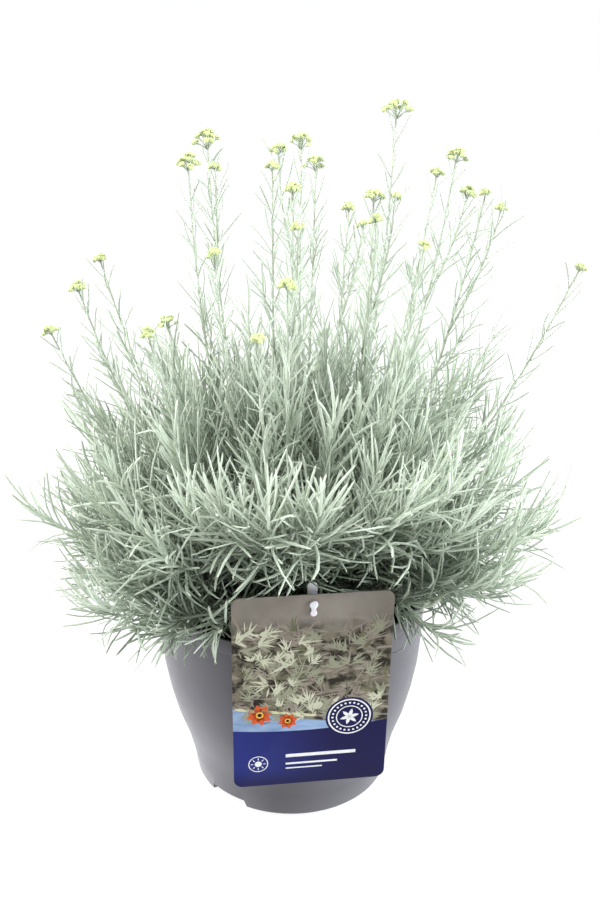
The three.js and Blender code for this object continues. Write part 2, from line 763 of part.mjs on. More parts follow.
// Tips of the leafy shoots, spread evenly over a dome that leaves room for the label
function shootTip(i) {
  const share = (i + 0.5) / SHOOT_COUNT;
  const heading = SHOOT_TURN + i * GOLDEN_ANGLE;
  const front = THREE.MathUtils.smoothstep(Math.cos(heading - LABEL_DIRECTION), ...LABEL_SHARE);
  const lowest = THREE.MathUtils.lerp(SHOOT_LOWEST, SHOOT_LOWEST_AT_LABEL, front);
  const rise = Math.max(Math.asin(THREE.MathUtils.lerp(Math.sin(SHOOT_LOWEST), 1, share)), lowest);
  const aside = THREE.MathUtils.smoothstep(rise, ...SIDE_RISES);
  const above = THREE.MathUtils.smoothstep(rise, ...TOP_RISES);
  const reach = between([between([SHOOT_LOW_REACH, SHOOT_SIDE_REACH], aside), SHOOT_TOP_REACH], above);
  const length = reach * draw(...SHOOT_REACH_SPREAD);
  return new THREE.Vector3(
    length * Math.cos(rise) * Math.cos(heading),
    length * Math.cos(rise) * Math.sin(heading),
    CROWN_HEIGHT + length * Math.sin(rise),
  );
}

function growShoot(branch, tip) {
  const crown = new THREE.Vector3(0, 0, CROWN_HEIGHT);
  const rise = riseBetween(crown, tip);
  const startRise = SHOOT_START_RISE + SHOOT_START_SHARE * rise;
  const endRise = Math.min(SHOOT_END_RISE + SHOOT_END_SHARE * rise, Math.PI / 2);
  return growStem(branch.name, null, branch.start, { tip, startRise, endRise }, SHOOT_RADIUS);
}

// Feet first, then flower stems, then leafy shoots, then leaves, so that each step clears all before it
const twoDigits = (i) => String(i + 1).padStart(2, '0');
const branches = [];
const heads = [];

function addBranch(tip) {
  const foot = footFor(tip, branches.map((branch) => branch.foot));
  const branch = { name: `branch_${twoDigits(branches.length)}`, foot, stems: [], shoots: [], leaves: [] };
  branch.start = foot.clone().setZ(SOIL_TOP + FOOT_RISE / 2);
  placeRods(branch.name, null, [foot, foot.clone().setZ(SOIL_TOP + FOOT_RISE)], FOOT_RADIUS);
  branches.push(branch);
  return branch;
}

for (const [main] of FLOWERS) addBranch(new THREE.Vector3(...main));
for (const leader of LEADERS) addBranch(new THREE.Vector3(...leader));

// A head's rod runs along its axis, between these shares of its half width above its seat
const HEAD_ROD = [0.8, 1.2];

function addHead(name, plan) {
  const radius = plan.width / 2;
  const rod = HEAD_ROD.map((share) => plan.base.clone().addScaledVector(plan.axis, share * radius));
  placeRods(name, null, rod, HEAD_FLORET * radius);
  heads.push({ name, geometry: makeHead(plan.base, plan.axis, plan.width) });
}

const headName = (i, k) => `flower_head_${twoDigits(i)}${'abc'[k]}`;

FLOWERS.forEach(([main], i) => {
  const branch = branches[i];
  branch.plan = planFlower(branch.start, main);
  addHead(headName(i, 0), branch.plan);
});
FLOWERS.forEach(([, ...others], i) => {
  const branch = branches[i];
  const main = growStem(branch.name, headName(i, 0), branch.start, branch.plan, FLOWER_STEM_RADIUS);
  branch.stems.push(main);
  others.forEach((head, k) => {
    const fork = placeOn(main, FORK_ALONG - k * FORK_STEP).root;
    const plan = planFlower(fork, head);
    addHead(headName(i, k + 1), plan);
    branch.stems.push(growStem(branch.name, headName(i, k + 1), fork, plan, SIDE_STEM_RADIUS));
  });
});

// Each leafy shoot grows from the nearest foot that still has room for one
function branchFor(tip) {
  const wanted = new THREE.Vector3(tip.x * FOOT_PULL, tip.y * FOOT_PULL, SOIL_TOP);
  const free = branches.filter((branch) => branch.shoots.length < SHOOTS_PER_FOOT);
  return free.sort((a, b) => a.foot.distanceTo(wanted) - b.foot.distanceTo(wanted))[0];
}

LEADERS.forEach((leader, i) => {
  const branch = branches[FLOWERS.length + i];
  branch.shoots.push(growShoot(branch, new THREE.Vector3(...leader)));
});
for (let i = 0; i < SHOOT_COUNT; i++) {
  const tip = shootTip(i);
  const branch = branchFor(tip);
  const shoot = growShoot(branch, tip);
  if (shoot) branch.shoots.push(shoot);
}

// Leaves go round in turns, one branch after another, so that no branch takes all the room
for (const branch of branches) {
  branch.stems.forEach((stem, k) => {
    const count = k === 0 ? FLOWER_STEM_LEAVES.count : FLOWER_STEM_LEAVES.sideCount;
    branch.leaves.push(...leavesOnFlowerStem(stem, count));
  });
}
for (const branch of branches) {
  for (const shoot of branch.shoots) branch.leaves.push(...leavesOnShoot(shoot));
}

function makeBranch(branch) {
  const bottom = branch.foot.clone().setZ(SOIL_TOP - FOOT_DEPTH);
  const top = branch.foot.clone().setZ(SOIL_TOP + FOOT_RISE);
  const eastward = new THREE.Vector3(1, 0, 0);
  const foot = solidFrom(tubeThrough([bottom, top], [FOOT_RADIUS, FOOT_RADIUS], FOOT_SIDES, eastward));
  const stems = [...branch.stems, ...branch.shoots].map(stemSolid);
  const leaves = branch.leaves.filter((leaf) => leaf !== null);
  return mainSkin(geometryFrom(joined([foot, ...stems, ...leaves])));
}

// Finishes
const potPlastic = new THREE.MeshStandardMaterial({ color: 0x86858f, roughness: 0.6, metalness: 0 });
const compost = new THREE.MeshStandardMaterial({ color: 0x2e2620, roughness: 1, metalness: 0 });
const cardPrint = new THREE.MeshStandardMaterial({ color: 0x6f6a5c, roughness: 0.45, metalness: 0 });
const stakePlastic = new THREE.MeshStandardMaterial({ color: 0xe6e6ea, roughness: 0.4, metalness: 0 });
const silverLeaf = new THREE.MeshStandardMaterial({ color: 0xaebfa8, roughness: 0.9, metalness: 0 });
const yellowFlower = new THREE.MeshStandardMaterial({ color: 0xc3c77c, roughness: 0.9, metalness: 0 });

function addPiece(group, name, geometry, material) {
  const mesh = new THREE.Mesh(geometry, material);
  mesh.name = name;
  group.add(mesh);
}

const plant = new THREE.Group();
addPiece(plant, 'pot', makePot(), potPlastic);
addPiece(plant, 'soil', makeSoil(branches.map((branch) => branch.foot)), compost);
const label = new THREE.Group();
label.applyMatrix4(labelMatrix());
addPiece(label, 'plant_label', makeCard(), cardPrint);
addPiece(label, 'label_stake', makeStake(), stakePlastic);
plant.add(label);
for (const branch of branches) addPiece(plant, branch.name, makeBranch(branch), silverLeaf);
for (const head of heads) addPiece(plant, head.name, head.geometry, yellowFlower);

export default plant;
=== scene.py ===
# %% [markdown]
# # A potted curry plant
#
# A silver-leaved herb stands in a grey nursery pot, with a printed card hung on a pale stake. The solid
# model gives every size. This lesson dresses it: each solid branch gets its many fine leaves, each flower
# head its florets, and the pot, soil, card and stake their rounded edges and finishes. Everything is in
# metres, and the origin is the middle of the pot's base.

# %% Load the solid plant
import math

import bpy
import numpy as np
from mathutils import Matrix, Vector


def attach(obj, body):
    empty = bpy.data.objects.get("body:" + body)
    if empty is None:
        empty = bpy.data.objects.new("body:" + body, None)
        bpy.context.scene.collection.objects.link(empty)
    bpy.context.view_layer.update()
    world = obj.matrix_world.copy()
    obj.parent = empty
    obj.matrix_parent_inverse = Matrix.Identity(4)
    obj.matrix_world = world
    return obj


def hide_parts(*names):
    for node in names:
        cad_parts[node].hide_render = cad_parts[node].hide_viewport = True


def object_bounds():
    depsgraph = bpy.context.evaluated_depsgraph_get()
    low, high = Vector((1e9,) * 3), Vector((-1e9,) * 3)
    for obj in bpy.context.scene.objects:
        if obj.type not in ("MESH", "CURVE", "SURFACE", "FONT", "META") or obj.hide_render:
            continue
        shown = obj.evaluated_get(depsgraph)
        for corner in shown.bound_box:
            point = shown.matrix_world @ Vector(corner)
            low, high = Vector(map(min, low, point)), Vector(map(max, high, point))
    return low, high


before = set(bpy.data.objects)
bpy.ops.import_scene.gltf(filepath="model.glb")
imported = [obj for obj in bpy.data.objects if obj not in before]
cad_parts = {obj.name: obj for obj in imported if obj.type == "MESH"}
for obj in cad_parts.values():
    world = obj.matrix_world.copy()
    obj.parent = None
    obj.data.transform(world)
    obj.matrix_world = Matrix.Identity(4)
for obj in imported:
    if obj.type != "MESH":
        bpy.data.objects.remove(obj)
solid_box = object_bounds()
MM = 0.001
print("the solid plant's box:", solid_box)

# %% [markdown]
# ## Small helpers for modelling by hand
#
# An operator works on whatever is selected. So each helper first clears the selection, and picks faces or
# corners by where they are. A new primitive is always the only thing selected. A finished piece is put at the
# origin with its place in its mesh.


# %% Selection, edit mode and modifiers
def start_object(obj):
    """Makes obj the only selected and active object."""
    if bpy.context.object and bpy.context.object.mode == "EDIT":
        bpy.ops.object.mode_set(mode="OBJECT")
    bpy.ops.object.select_all(action="DESELECT")
    obj.select_set(True)
    bpy.context.view_layer.objects.active = obj
    return obj


def edit(obj, kind="VERT"):
    start_object(obj)
    bpy.ops.object.mode_set(mode="EDIT")
    bpy.ops.mesh.select_mode(type=kind)
    bpy.ops.mesh.select_all(action="DESELECT")


def leave_edit():
    bpy.ops.object.mode_set(mode="OBJECT")


def pick(obj, test, kind="vertices"):
    """Selects the corners, edges or faces of obj that pass the test, while it is in edit mode."""
    bpy.ops.object.mode_set(mode="OBJECT")
    for item in getattr(obj.data, kind):
        item.select = test(item)
    bpy.ops.object.mode_set(mode="EDIT")


def modify(obj, kind, **settings):
    """Adds a modifier with these settings and applies it."""
    start_object(obj)
    modifier = obj.modifiers.new(kind.lower(), kind)
    for key, value in settings.items():
        setattr(modifier, key, value)
    bpy.ops.object.modifier_apply(modifier=modifier.name)


def settle(obj, name, place=None):
    """Names a piece and puts its place, and the turn or shift given, into its mesh."""
    start_object(obj)
    bpy.ops.object.transform_apply(location=True, rotation=True, scale=True)
    if place is not None:
        obj.data.transform(place)
    obj.name = name
    obj.data.name = name
    return obj


def joined(pieces):
    """Joins several objects into the first."""
    start_object(pieces[0])
    for piece in pieces[1:]:
        piece.select_set(True)
    bpy.ops.object.join()
    return pieces[0]


def cut(obj, tool, operation="DIFFERENCE"):
    """Cuts or adds one closed shape to another, and removes the tool."""
    modify(obj, "BOOLEAN", object=tool, operation=operation, solver="EXACT")
    bpy.data.objects.remove(tool)


def soften(obj, degrees):
    """Shades obj smooth over its flat edges, and keeps edges sharper than this angle."""
    start_object(obj)
    bpy.ops.object.shade_smooth_by_angle(angle=math.radians(degrees))


def wear(obj, finish):
    """Gives obj this finish alone."""
    obj.data.materials.clear()
    obj.data.materials.append(finish.material)


def count_of(obj):
    obj.data.calc_loop_triangles()
    return len(obj.data.loop_triangles)


# %% [markdown]
# ## Finishes as sums
#
# A shader graph is easier to read as a sum than as a picture of boxes. A Wire stands for one socket, and
# adding or multiplying wires adds the Math nodes. Every other node comes from one method.


# %% Wires and finishes
class Wire:
    """One output socket of a finish, for use in sums."""

    def __init__(self, finish, socket):
        self.finish = finish
        self.socket = socket

    def __add__(self, other):
        return self.finish.maths("ADD", self, other)

    def __sub__(self, other):
        return self.finish.maths("SUBTRACT", self, other)

    def __rsub__(self, other):
        return self.finish.maths("SUBTRACT", other, self)

    def __mul__(self, other):
        return self.finish.maths("MULTIPLY", self, other)

    __radd__ = __add__
    __rmul__ = __mul__


class Finish:
    """A material: node() adds any node, and paint() feeds its surface."""

    def __init__(self, name, **constants):
        self.material = bpy.data.materials.new(name)
        self.material.use_nodes = True
        self.tree = self.material.node_tree
        self.tree.nodes.clear()
        self.surface = self.tree.nodes.new("ShaderNodeBsdfPrincipled")
        output = self.tree.nodes.new("ShaderNodeOutputMaterial")
        self.tree.links.new(self.surface.outputs[0], output.inputs[0])
        for key, value in constants.items():
            self.surface.inputs[key.replace("_", " ")].default_value = value

    def feed(self, socket, value):
        if isinstance(value, Wire):
            self.tree.links.new(value.socket, socket)
        else:
            socket.default_value = value

    def node(self, kind, settings=None, inputs=None, output=0):
        node = self.tree.nodes.new(kind)
        for key, value in (settings or {}).items():
            setattr(node, key, value)
        for key, value in (inputs or {}).items():
            self.feed(node.inputs[key], value)
        return Wire(self, node.outputs[output])

    def maths(self, operation, first, second=0.0):
        return self.node("ShaderNodeMath", {"operation": operation}, {0: first, 1: second})

    def clamp(self, value):
        return self.node("ShaderNodeClamp", {}, {0: value})

    def smooth(self, value, low, high):
        """0 below low, 1 above high, and a soft step between."""
        settings = {"interpolation_type": "SMOOTHSTEP"}
        return self.node("ShaderNodeMapRange", settings, {0: value, 1: low, 2: high})

    def mix(self, share, low, high):
        """A colour that goes from low to high."""
        return self.node("ShaderNodeMix", {"data_type": "RGBA"}, {0: share, 6: low, 7: high}, 2)

    def place(self):
        return self.node("ShaderNodeTexCoord", {}, {}, "Object")

    def height(self):
        return self.node("ShaderNodeSeparateXYZ", {}, {0: self.place()}, 2)

    def from_axis(self):
        """How far a place is from the plant's upright axis."""
        level = self.node("ShaderNodeVectorMath", {"operation": "MULTIPLY"}, {0: self.place(), 1: (1, 1, 0)})
        return self.node("ShaderNodeVectorMath", {"operation": "LENGTH"}, {0: level}, "Value")

    def noise(self, scale, detail=2.0, stretch=(1, 1, 1)):
        """Noise on the piece's own coordinates: scale counts its lumps per metre."""
        place = self.node("ShaderNodeMapping", {}, {0: self.place(), "Scale": stretch})
        return self.node("ShaderNodeTexNoise", {}, {"Vector": place, "Scale": scale, "Detail": detail})

    def read(self, name):
        return self.node("ShaderNodeAttribute", {"attribute_name": name}, {}, "Fac")

    def bump(self, height, distance, strength=1.0):
        inputs = {"Height": height, "Distance": distance, "Strength": strength}
        self.paint(Normal=self.node("ShaderNodeBump", {}, inputs))

    def paint(self, **inputs):
        for key, value in inputs.items():
            self.feed(self.surface.inputs[key.replace("_", " ")], value)


def coloured(red, green, blue):
    return (red, green, blue, 1.0)


# %% [markdown]
# ## The pot
#
# The real pot is one thin shell of recycled plastic: a flat base with three drainage channels, a tapering
# wall, and a plain band at the rim. A lathe or a spin could make it. Here a ring of 96 corners is extruded
# and widened step by step, as one would by hand, up the outside, over the rounded lip and down the inside.
# The channels are then cut as blocks, which keeps the same walls over them as in the solid model.

# %% Pot shell
POT_HEIGHT = 149
POT_SIDES = 96
POT_WALL = 1.6
CHANNEL_COUNT = 3
CHANNEL_HEADING = -129.5
CHANNEL_ENDS = (40, 95)
CHANNEL_WIDTH, CHANNEL_TOP_WIDTH = 36, 29
CHANNEL_LOW, CHANNEL_HIGH = -5, 7.5
DRAIN_RADIUS = 4
DRAIN_DISTANCE = 56
OUTER_RINGS = [
    (66.2, 0), (67.4, 0.3), (69.8, 1.9), (70.3, 2.9), (72.8, 19), (77.1, 37), (83.6, 56), (88.2, 75),
    (91.3, 93), (93, 112), (93.8, 138), (93.85, 138.6), (94.65, 139), (94.9, 139.5), (95, 147.8),
    (94.8, 148.7), (94.3, 149),
]
INNER_RINGS = [
    (93.9, 149), (93.5, 148.7), (93.3, 147.9), (92.4, 139), (91.4, 112), (89.6, 93), (86.4, 75), (81.2, 56),
    (75.2, 37), (71.2, 19),
]


def turned_body(rings, sides, unit=MM):
    """A closed round body: a flat disc at the first ring, extruded and widened through the others. A ring is
    a radius and a height, in millimetres unless it is given another unit."""
    radius, height = rings[0]
    bpy.ops.mesh.primitive_circle_add(
        vertices=sides, radius=radius * unit, fill_type="NGON", location=(0, 0, height * unit)
    )
    obj = settle(bpy.context.object, "turned")
    edit(obj, "FACE")
    bpy.ops.mesh.select_all(action="SELECT")
    for wide, high in rings[1:]:
        bpy.ops.mesh.extrude_region_move(TRANSFORM_OT_translate={"value": (0, 0, (high - height) * unit)})
        ratio = wide / radius
        bpy.ops.transform.resize(value=(ratio, ratio, 1), center_override=(0, 0, high * unit))
        radius, height = wide, high
    bpy.ops.mesh.select_all(action="SELECT")
    bpy.ops.mesh.normals_make_consistent(inside=False)
    leave_edit()
    return obj


def drainage_channels(extra):
    """The three tapered blocks under the base, grown by extra millimetres on their sides, top and end."""
    blocks = []
    start = CHANNEL_ENDS[0] - extra
    length = CHANNEL_ENDS[1] - start
    width = CHANNEL_WIDTH + 2 * extra
    top = CHANNEL_HIGH + extra
    for turn in range(CHANNEL_COUNT):
        bpy.ops.mesh.primitive_cube_add(size=1)
        block = bpy.context.object
        block.scale = (length * MM, width * MM, (top - CHANNEL_LOW) * MM)
        block.location = ((start + length / 2) * MM, 0, (top + CHANNEL_LOW) / 2 * MM)
        settle(block, "channel")
        edit(block)
        pick(block, lambda corner: corner.co.z > 0)
        ratio = (CHANNEL_TOP_WIDTH + 2 * extra) / width
        bpy.ops.transform.resize(value=(1, ratio, 1), center_override=(0, 0, top * MM))
        leave_edit()
        block.data.transform(Matrix.Rotation(channel_heading(turn), 4, "Z"))
        blocks.append(block)
    return joined(blocks)


def channel_heading(turn):
    return math.radians(CHANNEL_HEADING + 360 / CHANNEL_COUNT * turn)


pot = turned_body(OUTER_RINGS + INNER_RINGS[:3], POT_SIDES)
cavity = turned_body([(67.5, 2)] + INNER_RINGS[::-1][:-2] + [(93.3, 155)], POT_SIDES)
cut(cavity, drainage_channels(POT_WALL))
cut(pot, cavity)
cut(pot, drainage_channels(0))
for turn in range(CHANNEL_COUNT):
    heading = channel_heading(turn)
    middle = (DRAIN_DISTANCE * MM * math.cos(heading), DRAIN_DISTANCE * MM * math.sin(heading), 8.5 * MM)
    bpy.ops.mesh.primitive_cylinder_add(vertices=24, radius=DRAIN_RADIUS * MM, depth=5 * MM, location=middle)
    cut(pot, settle(bpy.context.object, "drain"))
settle(pot, "pot_shell")
soften(pot, 35)
print("pot:", count_of(pot), "triangles")

# %% [markdown]
# The plastic is a dull violet grey, ground from mixed scrap: it has faint darker specks and long soft
# streaks from the mould, and its roughness is uneven where hands have rubbed it. The band at the rim is
# painted a little darker, as painted shade.

# %% Pot plastic
plastic = Finish(
    "grey_pot_plastic", Specular_IOR_Level=0.5, Sheen_Weight=0.42, Sheen_Roughness=0.45,
    Sheen_Tint=coloured(0.93, 0.93, 1.0),
)
streaks = plastic.noise(9, 3, (1, 1, 0.12))
specks = plastic.smooth(plastic.noise(520, 1), 0.66, 0.74)
grain = plastic.noise(1500, 2)
body_colour = plastic.mix(streaks, coloured(0.046, 0.044, 0.054), coloured(0.066, 0.063, 0.076))
# Painted shade: the band above the lip at the rim is given a darker colour.
rim_band_shade = plastic.smooth(plastic.height(), 0.1385, 0.1392)
body_colour = plastic.mix(rim_band_shade * 0.5, body_colour, coloured(0.055, 0.053, 0.064))
plastic.paint(Base_Color=plastic.mix(specks * 0.5, body_colour, coloured(0.035, 0.035, 0.04)))
plastic.paint(Roughness=0.36 + 0.16 * plastic.noise(60, 3))
plastic.bump(grain, 0.00005, 0.35)
wear(pot, plastic)
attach(pot, "root")
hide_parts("pot")

# %% [markdown]
# ## The compost
#
# Potting compost is a bed of dark crumbs with flakes of bark. A bump alone looks flat from the side, so the
# bed is a turned body whose top is pushed up and down, with crumbs scattered on it. Each crumb is a copy of
# one small lump, turned and stretched.

# %% Compost bed
SOIL_TOP = 137
BED_RINGS = [(67.2, 2.3), (70.9, 19), (86.0, 75), (91.2, 112), (92.0, 136.2)]
RIPPLES_FROM = 50
scatter = np.random.default_rng(11)


def soil_height(x, y):
    """Height of the compost in millimetres at a place in millimetres."""
    ripple = 1.2 * np.sin(0.11 * x + 0.7) * np.cos(0.09 * y - 0.4)
    lumps = 0.5 * np.sin(0.61 * x + 0.4 * y) * np.cos(0.57 * y - 0.2 * x)
    return SOIL_TOP - 0.6 + ripple * np.clip((np.hypot(x, y) - RIPPLES_FROM) / 15, 0, 1) + lumps


def mesh_object(name, corners, faces, smooth=True):
    """A mesh from its corners in metres and its faces, each a tuple of corner numbers."""
    mesh = bpy.data.meshes.new(name)
    mesh.from_pydata([tuple(corner) for corner in corners], [], faces)
    mesh.polygons.foreach_set("use_smooth", [smooth] * len(mesh.polygons))
    obj = bpy.data.objects.new(name, mesh)
    bpy.context.collection.objects.link(obj)
    return obj


bed = turned_body(BED_RINGS + [(radius, SOIL_TOP) for radius in range(88, 0, -6)], POT_SIDES)
cut(bed, drainage_channels(1.9))
for corner in bed.data.vertices:
    if corner.co.z > 136.9 * MM:
        corner.co.z = soil_height(corner.co.x / MM, corner.co.y / MM) * MM
settle(bed, "compost_bed")
soften(bed, 40)
print("compost bed:", count_of(bed), "triangles")

# %% Crumbs
bpy.ops.mesh.primitive_ico_sphere_add(subdivisions=1, radius=1)
lump = bpy.context.object
edit(lump)
bpy.ops.mesh.select_all(action="SELECT")
bpy.ops.transform.vertex_random(offset=0.25, uniform=0.5, seed=4)
leave_edit()
lump_corners = np.array([corner.co[:] for corner in lump.data.vertices])
lump_faces = [tuple(face.vertices) for face in lump.data.polygons]
bpy.data.objects.remove(lump)

CRUMBS = 900
CRUMBS_WITHIN = 90
crumb_corners = []
crumb_faces = []
for number in range(CRUMBS):
    distance = CRUMBS_WITHIN * math.sqrt(scatter.uniform(0.02, 0.98))
    heading = scatter.uniform(0, 2 * math.pi)
    x, y = distance * math.cos(heading), distance * math.sin(heading)
    size = scatter.uniform(0.6, 1.9) * (1 if scatter.uniform() < 0.9 else 1.6)
    stretch = size * np.array([1, scatter.uniform(0.5, 1), scatter.uniform(0.35, 0.8)])
    axis = Vector(scatter.normal(size=3))
    turn = np.array(Matrix.Rotation(scatter.uniform(0, math.pi), 3, axis))
    middle = np.array([x, y, soil_height(x, y) + 0.2 * size])
    shape = (lump_corners * stretch) @ turn.T
    offset = number * len(lump_corners)
    crumb_corners.append((shape + middle) * MM)
    crumb_faces += [tuple(corner + offset for corner in face) for face in lump_faces]
crumbs = mesh_object("compost_crumbs", np.concatenate(crumb_corners), crumb_faces, smooth=False)
print("crumbs:", CRUMBS)

# %% Compost finish
compost = Finish("dark_compost", Roughness=0.95, Specular_IOR_Level=0.15)
mottle = compost.noise(300, 4)
compost.paint(Base_Color=compost.mix(mottle, coloured(0.012, 0.009, 0.007), coloured(0.09, 0.06, 0.04)))
compost.bump(compost.noise(900, 4), 0.0006, 0.8)
for piece in (bed, crumbs):
    wear(piece, compost)
    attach(piece, "root")
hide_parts("soil")

# %% [markdown]
# ## The card and its stake
#
# The card is a thin plastic sheet with rounded corners, printed on its front, and it leans a little
# towards the reader. It hangs on the peg of a milky plastic stake. Both lie in a frame of their own: x along
# the card, y into the plant and z up the card. A plane is drawn there, its corners are rounded with a vertex
# bevel, and a Solidify modifier gives it its thickness.

# %% Card and stake sizes
CARD_WIDTH = 100
CARD_HEIGHT = 147
CARD_THICKNESS = 0.7
CARD_CORNER = 6
CARD_LEAN = math.radians(5)
CARD_HEADING = math.radians(7)
CARD_CENTRE_HEIGHT = 116
CARD_MIDDLE = (CARD_CENTRE_HEIGHT - POT_HEIGHT) / math.cos(CARD_LEAN)
CARD_TOP = CARD_MIDDLE + CARD_HEIGHT / 2
CARD_SHIFT = 1.3
CARD_DISTANCE = 96.7
PEG_HEIGHT = CARD_TOP - 6.5
PEG_HOLE_RADIUS = 2.2
label_place = (
    Matrix.Rotation(CARD_HEADING, 4, "Z")
    @ Matrix.Translation((CARD_SHIFT * MM, -CARD_DISTANCE * MM, POT_HEIGHT * MM))
    @ Matrix.Rotation(CARD_LEAN, 4, "X")
)


def plate(name, width, height, corner, thickness, middle, front, segments=8, bevel=0.0):
    """An upright plate with round corners. Its middle is at a height, its front at a depth, in millimetres."""
    bpy.ops.mesh.primitive_plane_add(size=1)
    obj = bpy.context.object
    obj.scale = (width * MM, height * MM, 1)
    settle(obj, name, Matrix.Rotation(math.pi / 2, 4, "X"))
    edit(obj)
    bpy.ops.mesh.select_all(action="SELECT")
    bpy.ops.mesh.bevel(offset=corner * MM, segments=segments, affect="VERTICES")
    leave_edit()
    modify(obj, "SOLIDIFY", thickness=thickness * MM, offset=0)
    if bevel:
        modify(obj, "BEVEL", width=bevel * MM, segments=2, limit_method="ANGLE")
    obj.data.transform(Matrix.Translation((0, (front + thickness / 2) * MM, middle * MM)))
    return obj


def peg(name, radius, depth, front, height, sides=24):
    """A short round bar along the card's y."""
    bpy.ops.object.select_all(action="DESELECT")
    middle = (0, (front + depth / 2) * MM, height * MM)
    bpy.ops.mesh.primitive_cylinder_add(
        vertices=sides, radius=radius * MM, depth=depth * MM, location=middle, rotation=(math.pi / 2, 0, 0)
    )
    return settle(bpy.context.object, name)


card = plate("plant_card", CARD_WIDTH, CARD_HEIGHT, CARD_CORNER, CARD_THICKNESS, CARD_MIDDLE, -0.7, bevel=0.12)
cut(card, peg("hole", PEG_HOLE_RADIUS, 4, -2.5, PEG_HEIGHT))
settle(card, "plant_card", label_place)
soften(card, 40)
print("card:", count_of(card), "triangles")

# %% Stake with its peg
STAKE_WIDTH = 6.4
STAKE_THICKNESS = 1.6
STAKE_SETBACK = 5.2
STAKE_DEPTH = 62
STAKE_FOOT = SOIL_TOP - POT_HEIGHT - STAKE_DEPTH
STAKE_TOP = CARD_TOP + 4.8
PEG_NECK_RADIUS = 1.8
PEG_FRONT = -2.55
PEG_LOBES = [(2.6, 0), (2.05, 6)]
stake = plate(
    "stake", STAKE_WIDTH, STAKE_TOP - STAKE_FOOT, 3.1, STAKE_THICKNESS, (STAKE_TOP + STAKE_FOOT) / 2,
    STAKE_SETBACK, 10, 0.3,
)
edit(stake)
pick(stake, lambda corner: corner.co.z < (STAKE_FOOT + 5) * MM)
bpy.ops.transform.resize(value=(0.35, 1, 1), center_override=(0, STAKE_SETBACK * MM, STAKE_FOOT * MM))
leave_edit()
cut(stake, peg("neck", PEG_NECK_RADIUS, 7.3, -1.8, PEG_HEIGHT), "UNION")
for radius, drop in PEG_LOBES:
    lobe = peg("lobe", radius, 1.5, PEG_FRONT, PEG_HEIGHT - drop, 32)
    modify(lobe, "BEVEL", width=0.35 * MM, segments=3, limit_method="ANGLE")
    cut(stake, lobe, "UNION")
cut(stake, plate("waist", 2.9, 6, 0.3, 1.3, PEG_HEIGHT - 3, PEG_FRONT + 0.1, 2), "UNION")
settle(stake, "card_stake", label_place)
soften(stake, 40)
print("stake:", count_of(stake), "triangles")

# %% Stake finish
milky = Finish(
    "milky_stake_plastic", Roughness=0.3, Subsurface_Weight=0.5, Subsurface_Scale=0.003,
    Specular_IOR_Level=0.5,
)
haze = milky.noise(120, 2)
milky.paint(Base_Color=milky.mix(haze, coloured(0.72, 0.73, 0.80), coloured(0.84, 0.85, 0.90)))
wear(stake, milky)
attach(stake, "root")
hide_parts("label_stake")

# %% [markdown]
# ## The print on the card
#
# The print is a picture of grey sprigs over a deep blue foot. Here it is a plain design of its own: the ground
# colours are painted by height on the card's own map, and the sprigs, blossoms, ring and rules are flat
# shapes that lie a twentieth of a millimetre in front of it, as ink would.

# %% Ground colours
map_layer = card.data.uv_layers.new(name="card_map")
to_card = label_place.inverted()
for loop in card.data.loops:
    spot = to_card @ card.data.vertices[loop.vertex_index].co
    along = spot.x / MM / CARD_WIDTH + 0.5
    up = (spot.z / MM - CARD_MIDDLE) / CARD_HEIGHT + 0.5
    map_layer.data[loop.index].uv = (along, up)

print_ground = Finish("printed_card", Roughness=0.45, Specular_IOR_Level=0.12)
card_map = print_ground.node("ShaderNodeUVMap", {"uv_map": "card_map"})
across = print_ground.node("ShaderNodeSeparateXYZ", {}, {0: card_map}, 0)
upward = print_ground.node("ShaderNodeSeparateXYZ", {}, {0: card_map}, 1)


def print_noise(scale, detail, stretch=(1, 1, 1), turn=0.0):
    place = print_ground.node("ShaderNodeMapping", {}, {0: card_map, "Scale": stretch, "Rotation": (0, 0, turn)})
    return print_ground.node("ShaderNodeTexNoise", {}, {"Vector": place, "Scale": scale, "Detail": detail})


blur = print_noise(5.0, 2.0)
gaps = print_ground.smooth(print_noise(11.0, 4.0, (1, 1.4, 1)), 0.40, 0.62)
straws = print_ground.smooth(print_noise(7.0, 3.0, (1, 6, 1), 0.7), 0.52, 0.66)
mist = print_ground.mix(blur, coloured(0.14, 0.12, 0.10), coloured(0.34, 0.31, 0.27))
depths = print_ground.mix(gaps, coloured(0.022, 0.019, 0.013), coloured(0.19, 0.17, 0.125))
depths = print_ground.mix(straws * 0.8, depths, coloured(0.33, 0.29, 0.24))
picture = print_ground.mix(print_ground.smooth(upward + 0.12 * blur, 0.84, 0.98), depths, mist)
# The blue foot has a bowed top edge, with a streaked lighter blue strip over it on the left.
bow = 0.30 + 0.10 * (across - 0.45) * (across - 0.45)
glow = print_ground.smooth(across + 0.4 * upward, 0.05, 0.85)
navy = print_ground.mix(glow, coloured(0.020, 0.030, 0.20), coloured(0.005, 0.004, 0.05))
navy = print_ground.mix(print_ground.smooth(upward, 0.12, 0.0) * 0.8, navy, coloured(0.005, 0.004, 0.045))
strip_top = bow + 0.12 - 0.13 * across
streaks_blue = print_noise(9.0, 3.0, (1, 4, 1), -0.5)
pale = print_ground.mix(streaks_blue, coloured(0.10, 0.20, 0.42), coloured(0.42, 0.55, 0.72))
ground = print_ground.mix(print_ground.smooth(strip_top - upward, -0.006, 0.006), picture, pale)
ground = print_ground.mix(print_ground.smooth(bow - upward, -0.002, 0.002), ground, navy)
print_ground.paint(Base_Color=ground)
wear(card, print_ground)
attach(card, "root")
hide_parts("plant_label")

# %% [markdown]
# Each ink shape is one flat face, given by its outline in millimetres from the card's middle. A sprig is a
# tuft of narrow leaves that fan out, a blossom is a round of petals with a dark eye, and a higher layer lies
# in front of a lower one.

